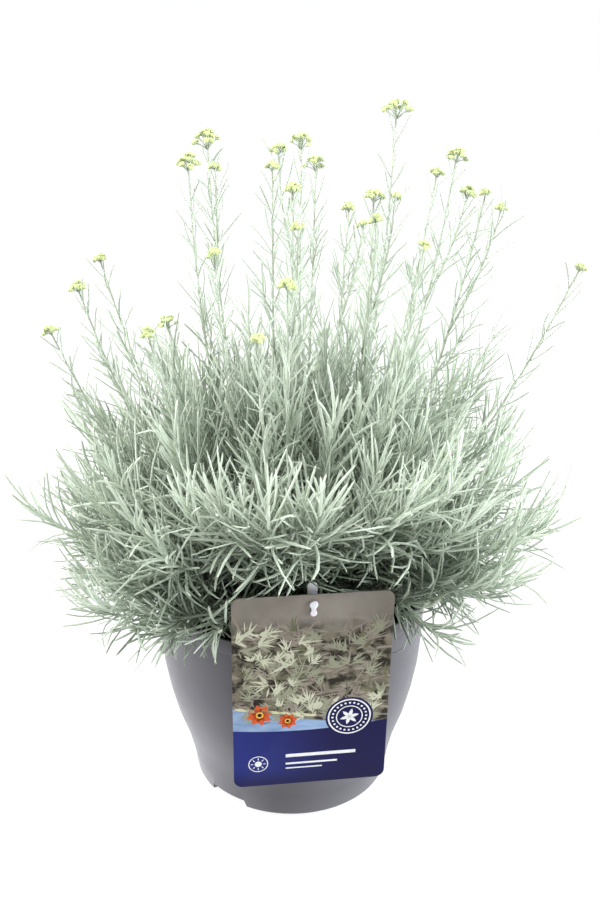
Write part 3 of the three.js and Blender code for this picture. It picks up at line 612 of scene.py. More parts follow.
# %% Ink shapes
INK_DEPTH = 0.04
BADGE = (25, -21)
SUN = (-34, -55)
RULES = [(-51, 46, 2.6), (-57, 34, 1.5), (-60.6, 24, 1.0)]
ink_flats = {}
pen = np.random.default_rng(5)


def ink(colour, outline, layer):
    ink_flats.setdefault(colour, []).append((outline, layer))


def headings(count, turn=0.0):
    return [2 * math.pi * i / count + turn for i in range(count)]


def disc(x, y, radius, sides):
    return [(x + radius * math.cos(turn), y + radius * math.sin(turn)) for turn in headings(sides)]


def blade_outline(x, y, heading, length, width):
    """A narrow pointed leaf from x, y."""
    along = np.array([math.cos(heading), math.sin(heading)])
    side = np.array([-along[1], along[0]])
    start = np.array([x, y])
    shape = [(0, 0.15), (0.3, 0.5), (0.7, 0.38), (1, 0), (0.7, -0.38), (0.3, -0.5), (0, -0.15)]
    return [tuple(start + along * length * a + side * width * b) for a, b in shape]


def ring(x, y, radius, width, sides=36):
    """A white ring, of one face a side."""
    inner = disc(x, y, radius - width / 2, sides)
    outer = disc(x, y, radius + width / 2, sides)
    for i in range(sides):
        ink("white", [inner[i], outer[i], outer[(i + 1) % sides], inner[(i + 1) % sides]], 5)


def sprig(x, y, heading, size, colour, layer, blades=9):
    """A tuft of narrow leaves of unequal length that fan out round its heading."""
    for number in range(blades):
        turn = heading + pen.uniform(-1.25, 1.25)
        reach = size * pen.uniform(0.5, 1.1) * (1 - 0.3 * abs(turn - heading))
        foot = (x + pen.normal(0, 0.9), y + pen.normal(0, 0.9))
        ink(colour, blade_outline(*foot, turn, reach, pen.uniform(0.7, 1.35)), layer + 0.01 * number)


def blossom(x, y, radius):
    for turn in headings(8, 0.2):
        ink("orange", blade_outline(x, y, turn, radius, 0.62 * radius), 4)
    ink("yellow", disc(x, y, 0.3 * radius, 14), 5)
    ink("black", disc(x, y, 0.17 * radius, 12), 6)


for number in range(26):
    x, y = pen.uniform(-48, 40), pen.uniform(-16, 48)
    ink("twig", blade_outline(x, y, pen.uniform(-0.3, 3.2), pen.uniform(14, 34), 1.5), 0.5)
for number in range(150):
    colour = ("olive", "sage", "twig", "sage", "silver")[number // 30]
    x, y = pen.uniform(-49, 47), pen.uniform(-20, 48)
    size = pen.uniform(6, 15)
    sprig(x, y, pen.uniform(-0.3, 3.4), size, colour, 1 + number * 0.018)
for number in range(7):
    ink("straw", blade_outline(-49 + 7 * number, -9 - 1.2 * number, -0.22, 11, 2.2), 4)
blossom(-33, -15, 8.5)
blossom(-15, -21, 6.5)
ink("navy", disc(*BADGE, 15.5, 44), 4)
ring(*BADGE, 13.6, 1.0)
ring(*BADGE, 8.4, 0.7)
for spot in disc(*BADGE, 11, 24):
    ink("white", disc(*spot, 0.75, 10), 5)
for turn in headings(6, 0.26):
    ink("white", blade_outline(*BADGE, turn, 6.4, 2.6), 5)
ring(*SUN, 6.2, 0.6)
ink("white", disc(*SUN, 2.3, 16), 5)
for spot, turn in zip(disc(*SUN, 3.1, 8), headings(8)):
    ink("white", blade_outline(*spot, turn, 2.1, 0.7), 5)
for y, length, width in RULES:
    ink("white", [(-16, y), (-16 + length, y), (-16 + length, y + width), (-16, y + width)], 5)
print("ink shapes:", sum(len(shapes) for shapes in ink_flats.values()))

# %% Ink pieces
INK_COLOURS = {
    "sage": (0.30, 0.31, 0.22), "silver": (0.56, 0.57, 0.43), "olive": (0.14, 0.14, 0.08),
    "twig": (0.27, 0.23, 0.19), "straw": (0.62, 0.62, 0.40),
    "orange": (0.62, 0.10, 0.025), "yellow": (0.80, 0.45, 0.06), "black": (0.01, 0.01, 0.015),
    "navy": (0.008, 0.008, 0.065), "white": (0.82, 0.83, 0.84),
}
side_margin = CARD_WIDTH / 2 - 0.3
end_margin = CARD_HEIGHT / 2 - 1.4
for colour, shapes in ink_flats.items():
    corners, faces = [], []
    for outline, layer in shapes:
        first = len(corners)
        front = -CARD_THICKNESS - INK_DEPTH * (0.5 + 0.2 * layer)
        for x, y in outline:
            x = min(max(x, -side_margin), side_margin)
            y = min(max(y, -end_margin), end_margin)
            corners.append((label_place @ (Vector((x, front, y + CARD_MIDDLE)) * MM))[:])
        faces.append(tuple(range(first, len(corners))))
    inked = mesh_object(f"card_ink_{colour}", corners, faces, smooth=False)
    tint = Finish(f"ink_{colour}", Roughness=0.45, Specular_IOR_Level=0.12)
    base = np.array(INK_COLOURS[colour])
    thin, full = coloured(*(0.82 * base)), coloured(*np.minimum(1.12 * base, 1))
    tint.paint(Base_Color=tint.mix(tint.noise(240, 3), thin, full))
    inked.data.materials.append(tint.material)
    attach(inked, "root")

# %% [markdown]
# ## How the plant grows
#
# The fine leaves have to sit on the same stems as the solid ones. So the growth rule of the solid model is
# worked out again: the feet, the flowering stems, the leafy shoots. A solid stem may have bent aside to
# clear its neighbours. Of all the bends it may have tried, the right one is the one whose joints lie on
# corners of the solid branch.

# %% Growth table and rule
FLOWERS = [
    [(-56, 60, 446, 18), (-50, 48, 428, 9)],
    [(-64, 10, 434, 15)],
    [(7, 98, 443, 16.5), (-9, 78, 438, 11.5)],
    [(-12, 20, 431, 9.5)],
    [(18, 125, 426, 16)],
    [(1, -35, 422, 10.5), (4, -46, 402, 8)],
    [(68, 45, 466, 19)],
    [(106, 115, 419, 11)],
    [(111, 60, 435, 13.5), (118, 50, 412, 12)],
    [(121, 2, 416, 8), (129, -10, 408, 8.5)],
    [(51, 0, 415, 12.5), (66, 10, 413, 7), (52, -13, 402, 8.5)],
    [(42, 106, 396, 10), (52, 100, 384, 8.5)],
    [(76, -60, 393, 7.5)],
    [(-133, 60, 366, 9.5)],
    [(-135, -10, 360, 11.5)],
    [(-146, -45, 340, 9)],
    [(-81, -85, 348, 8)],
    [(-93, 95, 314, 14)],
    [(-44, -60, 389, 8)],
    [(-2, -95, 377, 10)],
    [(-18, -115, 352, 8)],
    [(188, 15, 367, 9)],
]
LEADERS = [(-112, -92, 200), (126, -84, 196), (-112, 112, 214), (118, 112, 208)]
GOLDEN_ANGLE = math.pi * (3 - math.sqrt(5))
FOOT_PULL = 0.27
FOOT_SPACING = 9
FOOT_ROUNDS = 60
STEM_BEND_REACH = 0.36
CLEAR_GAP = 0.35
HEAD_LIFT = 1.06 * 0.95
FLOWER_STEM_BEND = math.radians(8)
SWAYS = [0, 3, -3, 6, -6, 9, -9, 13, -13, 17, -17]
LIFTS = [0, 5, 10, 16]


def foot_for(tip, feet):
    """A foot stands a fixed share of the way out to its tip, pushed clear of the earlier feet."""
    place = np.array([tip[0] * FOOT_PULL, tip[1] * FOOT_PULL])
    for _ in range(FOOT_ROUNDS):
        for foot in feet:
            apart = place - foot
            distance = np.hypot(*apart)
            if distance < FOOT_SPACING:
                place = place + apart / distance * (FOOT_SPACING - distance + CLEAR_GAP)
    return place


def rise_between(start, end):
    return math.atan2(end[2] - start[2], math.hypot(end[0] - start[0], end[1] - start[1]))


def away_from(start, end):
    level = np.array([end[0] - start[0], end[1] - start[1], 0.0])
    return level / np.linalg.norm(level)


def stem_bends(start, tip, start_rise, end_rise, sway, lift):
    """The four points that bend a stem from its foot to its tip."""
    away = away_from(start, tip)
    across = np.array([-away[1], away[0], 0])
    reach = STEM_BEND_REACH * np.linalg.norm(tip - start)
    up = np.array([0, 0, 1.0])
    first = start + away * reach * math.cos(start_rise) + up * (reach * math.sin(start_rise) + lift) + across * sway
    second = tip - away * reach * math.cos(end_rise) - up * (reach * math.sin(end_rise) - lift) + across * sway
    return np.array([start, first, second, tip])


def on_curve(bends, share):
    """Points on a stem's curve, and the way it heads there, at shares of its length."""
    share = np.atleast_1d(share)[:, None]
    rest = 1 - share
    a, b, c, d = bends
    points = rest**3 * a + 3 * rest**2 * share * b + 3 * rest * share**2 * c + share**3 * d
    heading = 3 * rest**2 * (b - a) + 6 * rest * share * (c - b) + 3 * share**2 * (d - c)
    return points, heading / np.linalg.norm(heading, axis=1)[:, None]


def matching_bends(branch_name, start, tip, start_rise, end_rise, radius):
    """The bends of the solid stem: the ones whose joints lie nearest to the solid branch's corners."""
    best = None
    solid = solid_corners[branch_name]
    for lift in LIFTS:
        for sway in SWAYS:
            bends = stem_bends(start, tip, start_rise, end_rise, sway, lift)
            joints, _ = on_curve(bends, [0.25, 0.5, 0.75, 1])
            gaps = np.linalg.norm(solid[None] - joints[:, None], axis=2).min(axis=1)
            miss = np.clip(gaps - radius, 0, None).sum()
            if best is None or miss < best[0] - 1e-3:
                best = (miss, bends)
    return best


def plan_flower(start, head):
    """A head's base and axis, the tip of the stem under it, and how that stem rises at both ends."""
    middle = np.array(head[:3], float)
    rise = rise_between(start, middle)
    end_rise = min(rise + FLOWER_STEM_BEND, math.pi / 2)
    away = away_from(start, middle)
    axis = away * math.cos(end_rise) + np.array([0, 0, math.sin(end_rise)])
    base = middle - axis * HEAD_LIFT * head[3] / 2
    return base, axis, base - axis * CLEAR_GAP, (rise - FLOWER_STEM_BEND, end_rise)


branch_names = [f"branch_{i + 1:02d}" for i in range(len(FLOWERS) + len(LEADERS))]
solid_corners = {}
for name in branch_names:
    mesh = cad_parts[name].data
    flat = np.empty(3 * len(mesh.vertices))
    mesh.vertices.foreach_get("co", flat)
    solid_corners[name] = flat.reshape(-1, 3) / MM

feet = []
for tip in [row[0] for row in FLOWERS] + LEADERS:
    feet.append(foot_for(tip, feet))
starts = [np.array([foot[0], foot[1], SOIL_TOP + 3]) for foot in feet]
print("feet:", len(feet))

# %% Stems with flowers
FORK_ALONG, FORK_STEP = 0.7, 0.05
stems = []
heads = []
worst = 0


def follow(branch, start, tip, rises, solid_radius, radius, kind):
    """Adds the stem that the solid branch has from start to tip, and returns its bends."""
    global worst
    miss, bends = matching_bends(branch_names[branch], start, tip, *rises, solid_radius)
    worst = max(worst, miss)
    stems.append({"branch": branch, "bends": bends, "radius": radius, "kind": kind})
    return bends


for i, row in enumerate(FLOWERS):
    for k, head in enumerate(row):
        if k == 0:
            base, axis, tip, rises = plan_flower(starts[i], head)
            main_stem, _ = on_curve(follow(i, starts[i], tip, rises, 1.15, 1.15, "flower"), np.linspace(0, 1, 5))
        else:
            share = 4 * (FORK_ALONG - FORK_STEP * (k - 1))
            joint = int(share)
            fork = main_stem[joint] + (main_stem[joint + 1] - main_stem[joint]) * (share - joint)
            base, axis, tip, rises = plan_flower(fork, head)
            follow(i, fork, tip, rises, 1, 0.95, "side")
        heads.append({"name": f"flower_head_{i + 1:02d}{'abc'[k]}", "base": base, "axis": axis, "width": head[3]})
print("flower stems:", len(stems), "heads:", len(heads), "widest miss, mm:", round(worst, 2))

# %% Leafy shoots of the solid plant
SOLID_SHOOTS = 35
SOLID_SHOOT_RADIUS = 1.3
SHOOTS_PER_FOOT = 3
draw_state = 3


def draw(low, high):
    """The solid model's own draws."""
    global draw_state
    draw_state = (draw_state * 1664525 + 1013904223) % 4294967296
    return low + (high - low) * draw_state / 4294967296


def soft_step(value, low, high):
    share = min(max((value - low) / (high - low), 0), 1)
    return share * share * (3 - 2 * share)


def mixed(low, high, share):
    return low + (high - low) * share


def shoot_tip(number, count, turn, low_rise, reach_share):
    """One tip on the dome, which leaves room for the card."""
    heading = turn + number * GOLDEN_ANGLE
    front = soft_step(math.cos(heading - CARD_HEADING + math.pi / 2), 0.62, 0.86)
    lowest = mixed(low_rise, math.radians(42), front)
    rise = max(math.asin(mixed(math.sin(low_rise), 1, (number + 0.5) / count)), lowest)
    side = mixed(136, 186, soft_step(rise, 0, 0.5))
    length = mixed(side, 172, soft_step(rise, 0.8, 1.4)) * reach_share
    level = length * math.cos(rise)
    return np.array([level * math.cos(heading), level * math.sin(heading), SOIL_TOP + length * math.sin(rise)])


def shoot_rises(tip):
    rise = rise_between((0, 0, SOIL_TOP), tip)
    return math.radians(50) + 0.42 * rise, min(math.radians(30) + 0.72 * rise, math.pi / 2)


shoots_on = [0] * len(feet)


def follow_shoot(branch, tip):
    follow(branch, starts[branch], tip, shoot_rises(tip), SOLID_SHOOT_RADIUS, SOLID_SHOOT_RADIUS, "shoot")
    shoots_on[branch] += 1


for i, leader in enumerate(LEADERS):
    follow_shoot(len(FLOWERS) + i, np.array(leader, float))
for number in range(SOLID_SHOOTS):
    tip = shoot_tip(number, SOLID_SHOOTS, 0.6, math.radians(12), draw(0.93, 1.05))
    free = [b for b in range(len(feet)) if shoots_on[b] < SHOOTS_PER_FOOT]
    follow_shoot(min(free, key=lambda b: np.hypot(*(feet[b] - tip[:2] * FOOT_PULL))), tip)
print("stems:", len(stems), "widest miss, mm:", round(worst, 2))

# %% [markdown]
# Nothing that grows may run through the pot, the compost, the card or the stake, nor reach outside the solid
# plant's box. One test of points answers that for stems and leaves alike.

# %% Room for growth
box_low = np.array(solid_box[0]) / MM + 0.2
box_high = np.array(solid_box[1]) / MM - 0.2
to_label = np.array(label_place.inverted())
wall_heights = [height for _, height in OUTER_RINGS]
wall_radii = [radius for radius, _ in OUTER_RINGS]


def misplaced(points, room=0.4):
    """Which points lie in the pot, the compost, the card or the stake, before the peg, or outside the box."""
    distance = np.hypot(points[..., 0], points[..., 1])
    height = points[..., 2]
    outer = np.interp(height, wall_heights, wall_radii)
    outside = distance > outer + room
    inside = (distance < outer - 2.2 - room) & (height > SOIL_TOP + 0.5)
    in_pot = ~(outside | inside | (height > POT_HEIGHT + room))
    x, y, z = np.moveaxis(points @ to_label[:3, :3].T + to_label[:3, 3] / MM, -1, 0)
    aside = np.abs(x)
    in_card = (aside < CARD_WIDTH / 2 + room) & (z < CARD_TOP + room) & (y < room + 0.3)
    in_stake = (aside < 3.6 + room) & (z < CARD_TOP + 5.3) & (y < 7.2)
    before_peg = (aside < 7) & (y < 0) & (z < CARD_TOP + 5 - 0.62 * y)
    beyond = ((points < box_low) | (points > box_high)).any(axis=-1)
    return in_pot | in_card | in_stake | before_peg | beyond | (height < 4)


# %% [markdown]
# The solid plant has few shoots, because each had to stay clear of the others. The real plant is filled with
# many more. Most follow the same rule, a little shorter, and fill the dome. Some stand tall among the
# flowering stems, and some lean out low over the rim.

# %% More shoots
more = np.random.default_rng(31)
DOME_SHOOTS = 130
TALL_SHOOTS = 40
RIM_SHOOTS = 56
CARD_SIDE = CARD_HEADING - math.pi / 2
CARD_CORNER_COSINE = 0.865


def add_shoot(tip, rises, kind, sways, lifts, radius):
    """Grows a shoot on the nearest foot, arched higher if it would run through something."""
    branch = min(range(len(feet)), key=lambda b: np.hypot(*(feet[b] - tip[:2] * FOOT_PULL)) + more.uniform(0, 6))
    sway = more.uniform(*sways)
    for lift in lifts:
        bends = stem_bends(starts[branch], tip, *rises, sway, lift)
        points, _ = on_curve(bends, np.linspace(0.1, 1, 25))
        if not misplaced(points, 1.6).any():
            stems.append({"branch": branch, "bends": bends, "radius": radius, "kind": kind})
            return


for number in range(DOME_SHOOTS):
    tip = shoot_tip(number, DOME_SHOOTS, 0.35, math.radians(8), more.uniform(0.66, 1.0))
    add_shoot(tip, shoot_rises(tip), "shoot", (-9, 9), (4, 10, 18), more.uniform(0.9, 1.25))
for number in range(TALL_SHOOTS):
    heading = 0.9 + number * GOLDEN_ANGLE
    out = 128 * math.sqrt((number + 0.5) / TALL_SHOOTS)
    height = more.uniform(252, 350) - 0.20 * out
    tip = np.array([1.12 * out * math.cos(heading), 0.95 * out * math.sin(heading), height])
    rise = rise_between((0, 0, SOIL_TOP), tip)
    add_shoot(tip, (rise - 0.12, rise + 0.16), "tall", (-10, 10), (0, 8), more.uniform(0.85, 1.1))
for number in range(RIM_SHOOTS):
    heading = 0.2 + 2 * math.pi * number / RIM_SHOOTS + more.uniform(-0.06, 0.06)
    if math.cos(heading - CARD_SIDE) > CARD_CORNER_COSINE:
        continue
    level = more.uniform(103, 140)
    tip = np.array([level * math.cos(heading), level * math.sin(heading), more.uniform(160, 192)])
    rises = (math.radians(52), math.radians(more.uniform(-2, 24)))
    add_shoot(tip, rises, "shoot", (-12, 12), (6, 14, 22, 30), more.uniform(0.9, 1.2))
print("stems with the added shoots:", len(stems))

# %% [markdown]
# Short leafy tufts stand in the corners of the leaves on the tall stems, as on any curry plant in growth.

# %% Tufts
for stem in [stem for stem in stems if stem["kind"] in ("flower", "tall")]:
    for share in more.uniform(0.32, 0.78, 3):
        point, heading = on_curve(stem["bends"], share)
        side = np.cross(heading[0], more.normal(size=3))
        side /= np.linalg.norm(side)
        length = more.uniform(22, 46) * (1.25 - share)
        tip = point[0] + heading[0] * length + side * 0.42 * length
        middle = point[0] + heading[0] * 0.45 * length + side * 0.32 * length
        bends = np.array([point[0], middle, middle, tip])
        stems.append({"branch": stem["branch"], "bends": bends, "radius": 0.6, "kind": "tuft"})
print("stems with tufts:", len(stems))

# %% [markdown]
# ## One leaf
#
# A curry plant's leaf is a felted needle: about 35 mm long and 1.7 mm wide, flat above, with its margins rolled
# under. One leaf is modelled standing up, one unit long: a four-cornered ring is extruded in steps, each step
# is widened or narrowed, and the last is drawn to a point. Its copies are then bent by a formula, because a
# Curve modifier on thousands of leaves would take minutes.

# %% Leaf shape
LEAF_STEPS = [(0.0, 0.6), (0.14, 0.92), (0.4, 1.0), (0.68, 0.96), (0.92, 0.74)]
bpy.ops.mesh.primitive_circle_add(vertices=4, radius=0.5, fill_type="NGON")
leaf = bpy.context.object
leaf.scale = (LEAF_STEPS[0][1], 0.62 * LEAF_STEPS[0][1], 1)
settle(leaf, "leaf")
edit(leaf, "FACE")
bpy.ops.mesh.select_all(action="SELECT")
for (low, narrow), (high, wide) in zip(LEAF_STEPS, LEAF_STEPS[1:]):
    bpy.ops.mesh.extrude_region_move(TRANSFORM_OT_translate={"value": (0, 0, high - low)})
    bpy.ops.transform.resize(value=(wide / narrow, wide / narrow, 1), center_override=(0, 0, high))
bpy.ops.mesh.extrude_region_move(TRANSFORM_OT_translate={"value": (0, 0, 1 - LEAF_STEPS[-1][0])})
bpy.ops.mesh.merge(type="CENTER")
bpy.ops.mesh.select_all(action="SELECT")
bpy.ops.mesh.normals_make_consistent(inside=False)
leave_edit()
print("one leaf:", count_of(leaf), "triangles")
leaf_corners = np.array([corner.co[:] for corner in leaf.data.vertices])
leaf_faces = [tuple(face.vertices) for face in leaf.data.polygons]
bpy.data.objects.remove(leaf)


# %% Bending all leaves at once
def unit(vectors):
    return vectors / np.linalg.norm(vectors, axis=-1, keepdims=True)


def bent_leaves(rows):
    """Corners of every leaf in the rows: a leaf leans off its stem by `spread`, bends on by `curl`, sinks by
    `droop` or rises where that is negative, leans sideways by `aside` and twists by `roll`."""
    share = leaf_corners[None, :, 2]
    spread = rows["spread"][:, None]
    curl = rows["curl"][:, None]
    curl = np.where(np.abs(curl) < 1e-3, 1e-3, curl)
    length = rows["length"][:, None, None]
    up = (np.sin(spread + curl * share) - np.sin(spread)) / curl
    out = (np.cos(spread) - np.cos(spread + curl * share)) / curl
    heading = rows["heading"][:, None]
    away = rows["out"][:, None]
    side = np.cross(heading, away)
    aside = rows["aside"][:, None] * share
    centre = rows["root"][:, None] + length * (
        up[..., None] * heading + out[..., None] * away + (aside * share)[..., None] * side
    )
    sink = rows["droop"][:, None] * share
    centre[..., 2] -= length[..., 0] * sink * share
    tangent = (
        np.cos(spread + curl * share)[..., None] * heading
        + np.sin(spread + curl * share)[..., None] * away
        + 2 * aside[..., None] * side
    )
    tangent[..., 2] -= 2 * sink
    tangent = unit(tangent)
    flat = unit(side - (side * tangent).sum(axis=-1, keepdims=True) * tangent)
    normal = np.cross(tangent, flat)
    turn = rows["roll"][:, None] * share
    cosine, sine = np.cos(turn)[..., None], np.sin(turn)[..., None]
    width = rows["width"][:, None, None]
    x = leaf_corners[None, :, 0, None] * width
    y = leaf_corners[None, :, 1, None] * width
    return centre + x * (flat * cosine + normal * sine) + y * (normal * cosine - flat * sine)


# %% [markdown]
# ## Where leaves grow
#
# Leaves stand in a spiral, each turned by the golden angle from the one below. On a leafy shoot the old leaves
# at the bottom stand wide open and curl, the young ones at the top are nearly straight, close together and
# point along the stem, and nearly all sweep up a little. On a flowering stem they get shorter towards the head.
#
# STANCE holds the rules of each kind of stem: the angle a leaf makes with the stem at its foot, in degrees, its
# fall to the tip and its unevenness; its curl, with the same; its shortest and longest length, with a factor
# and that factor's fall; and its least and greatest width.

# %% Leaf rows
grow = np.random.default_rng(7)
LEAVES_ON = {"shoot": 56, "tall": 44, "flower": 42, "side": 15, "tuft": 8}
LEAFY_SPAN = {
    "shoot": (0.16, 0.995), "tall": (0.2, 0.99), "flower": (0.2, 0.97), "side": (0.12, 0.95), "tuft": (0.15, 1.0),
}
STANCE = {
    "tall": ((56, 34, 0.10), (0.25, 0.5, 0.28), (24, 40, 1, 0.28), (1.1, 1.5)),
    "tuft": ((38, 22, 0.08), (-0.1, 0, 0.2), (13, 25, 1, 0), (1.0, 1.4)),
    "flower": ((48, 22, 0.08), (-0.12, 0, 0.25), (0.75, 1.15, 38, 19), (1.15, 1.55)),
}
STANCE["side"] = STANCE["flower"]


def leaves_for(stem):
    """The rows of one stem's leaves."""
    kind = stem["kind"]
    number = np.arange(LEAVES_ON[kind])
    count = len(number)
    low, high = LEAFY_SPAN[kind]
    share = low + (high - low) * (number / (count - 1)) ** 0.85
    roots, heading = on_curve(stem["bends"], share)
    across = unit(np.cross(heading, np.array([0.2, 0.1, 1.0])))
    third = np.cross(heading, across)
    turn = number * GOLDEN_ANGLE + grow.uniform(0, 6.28) + grow.normal(0, 0.25, count)
    out = across * np.cos(turn)[:, None] + third * np.sin(turn)[:, None]
    droop = np.zeros(count)
    if kind == "shoot":
        spread = np.radians(70 - 58 * share**2) + grow.normal(0, 0.12, count)
        curl = 1.5 - 1.6 * share + grow.normal(0, 1.05 - 0.6 * share, count)
        length = grow.uniform(26, 46, count) * np.where(share > 0.9, 0.72, 1.0)
        droop = grow.normal(-0.26, 0.2, count)
        width = grow.uniform(1.35, 2.05, count)
    else:
        (angle, fall, uneven), (bend, unbend, unruly), (short, long, factor, less), widths = STANCE[kind]
        spread = np.radians(angle - fall * share) + grow.normal(0, uneven, count)
        curl = bend - unbend * share + grow.normal(0, unruly, count)
        length = grow.uniform(short, long, count) * (factor - less * share)
        width = grow.uniform(*widths, count)
    return {
        "root": roots, "heading": heading, "out": out, "spread": spread, "curl": curl, "length": length,
        "droop": droop, "width": width, "aside": grow.normal(0, 0.24, count), "roll": grow.normal(0, 0.8, count),
        "branch": np.full(count, stem["branch"]), "tone": grow.uniform(0, 1, count),
        "tall": np.full(count, 0.0 if kind == "shoot" else 1.0),
    }


def stacked(rows):
    return {key: np.concatenate([row[key] for row in rows]) for key in rows[0]}


rows = stacked([leaves_for(stem) for stem in stems])
print("leaves drawn:", len(rows["length"]))

# %% Leaves that fit
LIFTS_TRIED = 2
CUTS_TRIED = 4


def fitting(rows):
    """Lifts and then shortens what is misplaced, and leaves out what still is."""
    for attempt in range(LIFTS_TRIED + CUTS_TRIED):
        wrong = misplaced(bent_leaves(rows)).any(axis=1)
        if attempt < LIFTS_TRIED:
            rows["droop"] = np.where(wrong, rows["droop"] - 0.3, rows["droop"])
        else:
            rows["length"] = np.where(wrong, 0.75 * rows["length"], rows["length"])
    kept = ~misplaced(bent_leaves(rows)).any(axis=1) & (rows["length"] > 8)
    return {key: value[kept] for key, value in rows.items()}


rows = fitting(rows)
print("leaves that fit:", len(rows["length"]))

# %% [markdown]
# ## Stems
#
# A young stem is pale and downy, and an old one at the soil is brown and woody. Each is a six-sided tube
# that gets thinner upward. The feet stand in the holes that the solid soil has for them.


# %% Tubes
def tube(points, radii, sides):
    """Corners and faces of a round bar through the points, closed at both ends."""
    count = len(points)
    heading = unit(np.gradient(points, axis=0))
    side = unit(np.cross(heading, np.array([0.31, 0.17, 1.0])))
    other = np.cross(heading, side)
    turn = 2 * np.pi * np.arange(sides) / sides
    ring = side[:, None] * np.cos(turn)[None, :, None] + other[:, None] * np.sin(turn)[None, :, None]
    corners = (points[:, None] + np.asarray(radii)[:, None, None] * ring).reshape(-1, 3)
    faces = []
    for i in range(count - 1):
        for k in range(sides):
            n = (k + 1) % sides
            faces.append((i * sides + k, i * sides + n, (i + 1) * sides + n, (i + 1) * sides + k))
    faces.append(tuple(range(sides))[::-1])
    faces.append(tuple((count - 1) * sides + k for k in range(sides)))
    return corners, faces


def stem_tube(stem):
    tuft = stem["kind"] == "tuft"
    shares = np.linspace(0, 1, 4 if tuft else 9)
    points, _ = on_curve(stem["bends"], shares)
    end = 0.5 if stem["kind"] in ("flower", "side") else 0.42
    radii = stem["radius"] * (1 - (1 - end) * shares)
    return tube(points, radii, 5 if tuft else 6)


def foot_tube(foot):
    heights = [SOIL_TOP - 13.5, SOIL_TOP + 1, SOIL_TOP + 4, SOIL_TOP + 6.5]
    points = np.array([[foot[0], foot[1], height] for height in heights])
    return tube(points, [2.1, 2.2, 2.1, 1.2], 8)


# %% One mesh a branch
def filled_mesh(name, corners, faces, finishes, finish_of_face, marks):
    """A smooth mesh from arrays. marks are named numbers on its corners, which finishes read."""
    obj = mesh_object(name, corners * MM, faces)
    for finish in finishes:
        obj.data.materials.append(finish.material)
    obj.data.polygons.foreach_set("material_index", finish_of_face)
    for key, values in marks.items():
        layer = obj.data.attributes.new(key, "FLOAT", "POINT")
        layer.data.foreach_set("value", values)
    return obj


felt = Finish("silver_felt_leaf", Roughness=0.85, Specular_IOR_Level=0.2, Sheen_Weight=0.25, Sheen_Roughness=0.4)
bark = Finish("downy_stem", Roughness=0.9, Specular_IOR_Level=0.2)

all_corners = bent_leaves(rows)
# A leaf deeper in the dome gets a higher age mark: partly its real age, partly painted shade for the dark inside of
# the plant.
depth_in = np.linalg.norm((rows["root"] - np.array([0, 0, 150])) / np.array([150, 135, 150]), axis=1)
age_and_depth_shade = np.clip(1.5 - 1.3 * depth_in, 0, 1) * (1 - 0.3 * rows["tall"]) + 0.16 * rows["tall"]
branches_made = []
for b, name in enumerate(branch_names):
    corners, faces, kinds = [], [], []
    size = 0
    for part_corners, part_faces in [foot_tube(feet[b])] + [stem_tube(s) for s in stems if s["branch"] == b]:
        corners.append(part_corners)
        faces += [tuple(corner + size for corner in face) for face in part_faces]
        kinds += [1] * len(part_faces)
        size += len(part_corners)
    stem_size = size
    mine = np.flatnonzero(rows["branch"] == b)
    for _ in mine:
        faces += [tuple(corner + size for corner in face) for face in leaf_faces]
        size += len(leaf_corners)
    kinds += [0] * (len(leaf_faces) * len(mine))
    corners.append(all_corners[mine].reshape(-1, 3))
    per_leaf = len(leaf_corners)
    marks = {
        "leaf_tone": np.repeat(rows["tone"][mine], per_leaf),
        "leaf_along": np.tile(leaf_corners[:, 2], len(mine)),
        "leaf_age": np.repeat(age_and_depth_shade[mine], per_leaf),
    }
    marks = {key: np.concatenate([np.zeros(stem_size), values]) for key, values in marks.items()}
    grown = filled_mesh(f"{name}_growth", np.concatenate(corners), faces, [felt, bark], kinds, marks)
    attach(grown, "root")
    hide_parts(name)
    branches_made.append(grown)
print("branches:", len(branches_made), "triangles in the fullest:", max(count_of(piece) for piece in branches_made))

# %% [markdown]
# The felt is what makes the plant silver. It is densest on young leaves, so the tips of the shoots are almost
# white and the old leaves inside are greener. Leaves deep in the dome are painted darker as well, as painted
# shade. The marks that each leaf carries drive the colour, and fine noise breaks it up.

# %% Leaf and stem finishes
young_and_unshaded = 1 - felt.read("leaf_age")
tone = felt.read("leaf_tone")
tip = felt.read("leaf_along")
nap = felt.noise(700, 3)
# Old and deep-lying leaves mix towards the dark green: partly the colour of old leaves, partly painted shade.
silver = felt.clamp(0.80 * young_and_unshaded + 0.32 * tone - 0.06 + 0.2 * (nap - 0.5))
felt_and_shade_colour = felt.mix(silver, coloured(0.025, 0.06, 0.015), coloured(0.74, 0.83, 0.70))
felt.paint(Base_Color=felt.mix(felt.smooth(tip, 0.75, 1.1) * 0.3, felt_and_shade_colour, coloured(0.72, 0.75, 0.62)))
felt.bump(nap, 0.0002, 0.4)

woody = bark.smooth(bark.height(), 0.20, 0.15) * bark.smooth(bark.from_axis(), 0.09, 0.04)
down = bark.noise(500, 3)
downy = bark.mix(down, coloured(0.38, 0.43, 0.33), coloured(0.60, 0.65, 0.55))
bark.paint(Base_Color=bark.mix(woody, downy, coloured(0.16, 0.11, 0.07)))
bark.bump(bark.noise(1200, 2, (1, 1, 0.2)), 0.0002, 0.5)

# %% [markdown]
# ## Flower heads
#
# A head is a flat-topped bunch of small florets, each a narrow cup of dry papery scales with a tuft of yellow
# in its mouth, on its own thread of a stalk. One floret is modelled. Its copies make small bunches, and the
# bunches fill the head in a spiral.

# %% Floret shape
FLORET_RINGS = [(0.22, 0.0), (0.44, 0.25), (0.46, 0.7), (0.52, 0.98), (0.3, 1.15)]
floret = turned_body(FLORET_RINGS, 6, 1)
floret_corners = np.array([corner.co[:] for corner in floret.data.vertices])
floret_faces = [tuple(face.vertices) for face in floret.data.polygons]
print("one floret:", count_of(floret), "triangles")
bpy.data.objects.remove(floret)

# %% Heads
papery = Finish("papery_floret", Roughness=0.8, Specular_IOR_Level=0.25)
bloom = np.random.default_rng(3)


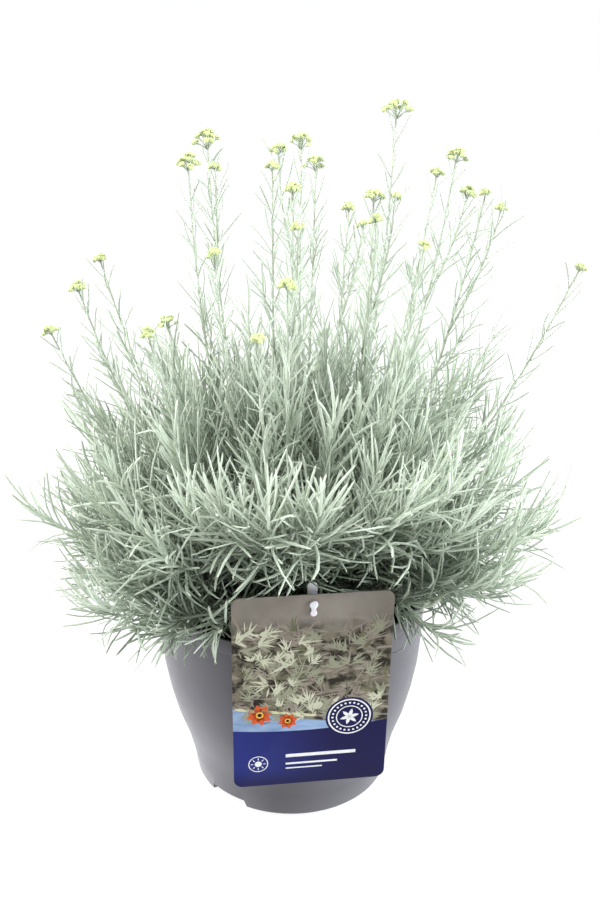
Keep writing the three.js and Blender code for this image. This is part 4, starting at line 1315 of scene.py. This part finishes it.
def make_head(head):
    """A loose bunch of small bunches of florets, in the room that its solid head takes."""
    axis = head["axis"]
    side = unit(np.cross(axis, np.array([0.3, 0.1, 1.0]) if abs(axis[2]) < 0.95 else np.array([1.0, 0, 0])))
    other = np.cross(axis, side)
    radius = 0.64 * head["width"]
    bunches = max(4, int(round(0.85 * head["width"])))
    corners, faces, kinds, tone, along = [], [], [], [], []

    def add(points, its_faces, kind, its_tone, its_along):
        first = sum(len(part) for part in corners)
        corners.append(points)
        faces.extend(tuple(corner + first for corner in face) for face in its_faces)
        kinds.extend([kind] * len(its_faces))
        tone.append(np.full(len(points), its_tone))
        along.append(its_along)

    for k in range(bunches):
        share = math.sqrt((k + 0.5) / bunches) * bloom.uniform(0.85, 1.08)
        turn = k * GOLDEN_ANGLE + bloom.normal(0, 0.3)
        level = side * math.cos(turn) + other * math.sin(turn)
        lean = unit(axis + level * 0.8 * share)
        high = 1.42 - 0.75 * share**2 + bloom.uniform(-0.28, 0.1)
        middle = head["base"] + axis * 0.8 * radius * high + level * (radius - 1.2) * share
        knot = middle - lean * 2.6
        stalk = np.array([head["base"] - axis * 0.6, head["base"] + (knot - head["base"]) * 0.5 + axis * 0.4, knot])
        add(*tube(stalk, [0.42, 0.32, 0.26], 4), 1, 0.0, np.zeros(12))
        for number in range(int(bloom.integers(5, 9))):
            around = number * GOLDEN_ANGLE + bloom.uniform(0, 1)
            reach = 1.9 * math.sqrt((number + 0.3) / 6)
            first = unit(np.cross(lean, side + 0.01))
            second = np.cross(lean, first)
            spot = middle + (first * math.cos(around) + second * math.sin(around)) * reach
            spot = spot - lean * (0.35 * reach + bloom.uniform(0, 0.6))
            own = bloom.uniform(1.8, 2.4)
            aim = unit(spot - knot + lean)
            u = unit(np.cross(aim, side + 0.02))
            v = np.cross(aim, u)
            shape = floret_corners * own
            low = spot - aim * own
            placed = low + shape[:, 0:1] * u + shape[:, 1:2] * v + shape[:, 2:3] * aim
            add(placed, floret_faces, 0, bloom.uniform(0, 1), floret_corners[:, 2] / FLORET_RINGS[-1][1])
            add(*tube(np.array([knot, low + aim * 0.3]), [0.2, 0.18], 3), 1, 0.0, np.zeros(6))
    corners = np.clip(np.concatenate(corners), box_low, box_high)
    marks = {"floret_tone": np.concatenate(tone), "floret_along": np.concatenate(along)}
    obj = filled_mesh(f"{head['name']}_florets", corners, faces, [papery, bark], kinds, marks)
    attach(obj, "root")
    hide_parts(head["name"])
    return obj


made_heads = [make_head(head) for head in heads]
print("heads:", len(made_heads), "triangles:", sum(count_of(piece) for piece in made_heads))

# %% Floret finish
mouth = papery.smooth(papery.read("floret_along"), 0.5, 0.95)
scales = papery.noise(900, 3)
cup = papery.mix(scales, coloured(0.42, 0.50, 0.32), coloured(0.66, 0.72, 0.50))
tuft = papery.mix(papery.read("floret_tone"), coloured(0.48, 0.57, 0.30), coloured(0.72, 0.79, 0.36))
papery.paint(Base_Color=papery.mix(mouth, cup, tuft))
papery.bump(scales, 0.0003, 0.6)

# %% [markdown]
# ## Studio
#
# The picture is very bright: white all round, with a soft light from above and the left, and a paler, cooler
# one from the right. Most of the sky's light comes from behind the plant, which darkens the near side of the
# pot and lights its edges. The floor glows a little, so that it is as white as the sky and ends nowhere.

# %% Floor and lights
bpy.ops.mesh.primitive_plane_add(size=12)
floor = settle(bpy.context.object, "studio_floor")
floor_finish = Finish("white_floor", Roughness=0.9, Emission_Color=coloured(1, 1, 1), Emission_Strength=0.9)
greys = coloured(0.14, 0.14, 0.14), coloured(0.16, 0.16, 0.16)
floor_finish.paint(Base_Color=floor_finish.mix(floor_finish.noise(3, 1), *greys))
floor.data.materials.append(floor_finish.material)

world = bpy.data.worlds.new("studio")
bpy.context.scene.world = world
world.use_nodes = True
sky = world.node_tree
backdrop = sky.nodes["Background"]
backdrop.inputs["Color"].default_value = coloured(1.0, 1.0, 1.0)
direction, parts, depth, seen, strength = (
    sky.nodes.new(f"ShaderNode{kind}") for kind in ("TexCoord", "SeparateXYZ", "MapRange", "LightPath", "Mix")
)
for socket, value in zip(depth.inputs[1:], (-0.7, 0.5, 0.24, 0.90)):
    socket.default_value = value
strength.inputs[3].default_value = 1.0
for source, target in (
    (direction.outputs["Generated"], parts.inputs[0]), (parts.outputs[1], depth.inputs[0]),
    (seen.outputs["Is Camera Ray"], strength.inputs[0]), (depth.outputs[0], strength.inputs[2]),
    (strength.outputs[0], backdrop.inputs["Strength"]),
):
    sky.links.new(source, target)


def soft_light(name, place, aim, size, power, colour):
    light = bpy.data.lights.new(name, "AREA")
    light.size = size
    light.energy = power
    light.color = colour
    obj = bpy.data.objects.new(name, light)
    bpy.context.collection.objects.link(obj)
    obj.location = place
    obj.rotation_euler = (Vector(aim) - Vector(place)).to_track_quat("-Z", "Y").to_euler()


soft_light("key_top", (-0.8, -0.6, 2.1), (0, 0, 0.25), 1.0, 48, (1.0, 0.99, 0.97))
soft_light("cool_right", (1.5, -0.25, 0.45), (0, 0, 0.15), 0.8, 34, (0.90, 0.94, 1.0))
soft_light("fill_left", (-1.5, 0.2, 0.45), (0, 0, 0.15), 0.8, 23, (0.94, 0.96, 1.0))

# %% Camera
CAMERA_PITCH = 20.1
camera = bpy.data.cameras.new("camera")
camera.lens = 40
camera.sensor_width = 36
camera.shift_x = 0.0097
eye = bpy.data.objects.new("camera", camera)
bpy.context.collection.objects.link(eye)
eye.location = (0, -0.6345, 0.4773)
eye.rotation_euler = (math.radians(90 - CAMERA_PITCH), 0, 0)
bpy.context.scene.camera = eye
bpy.context.scene.view_settings.view_transform = "Standard"
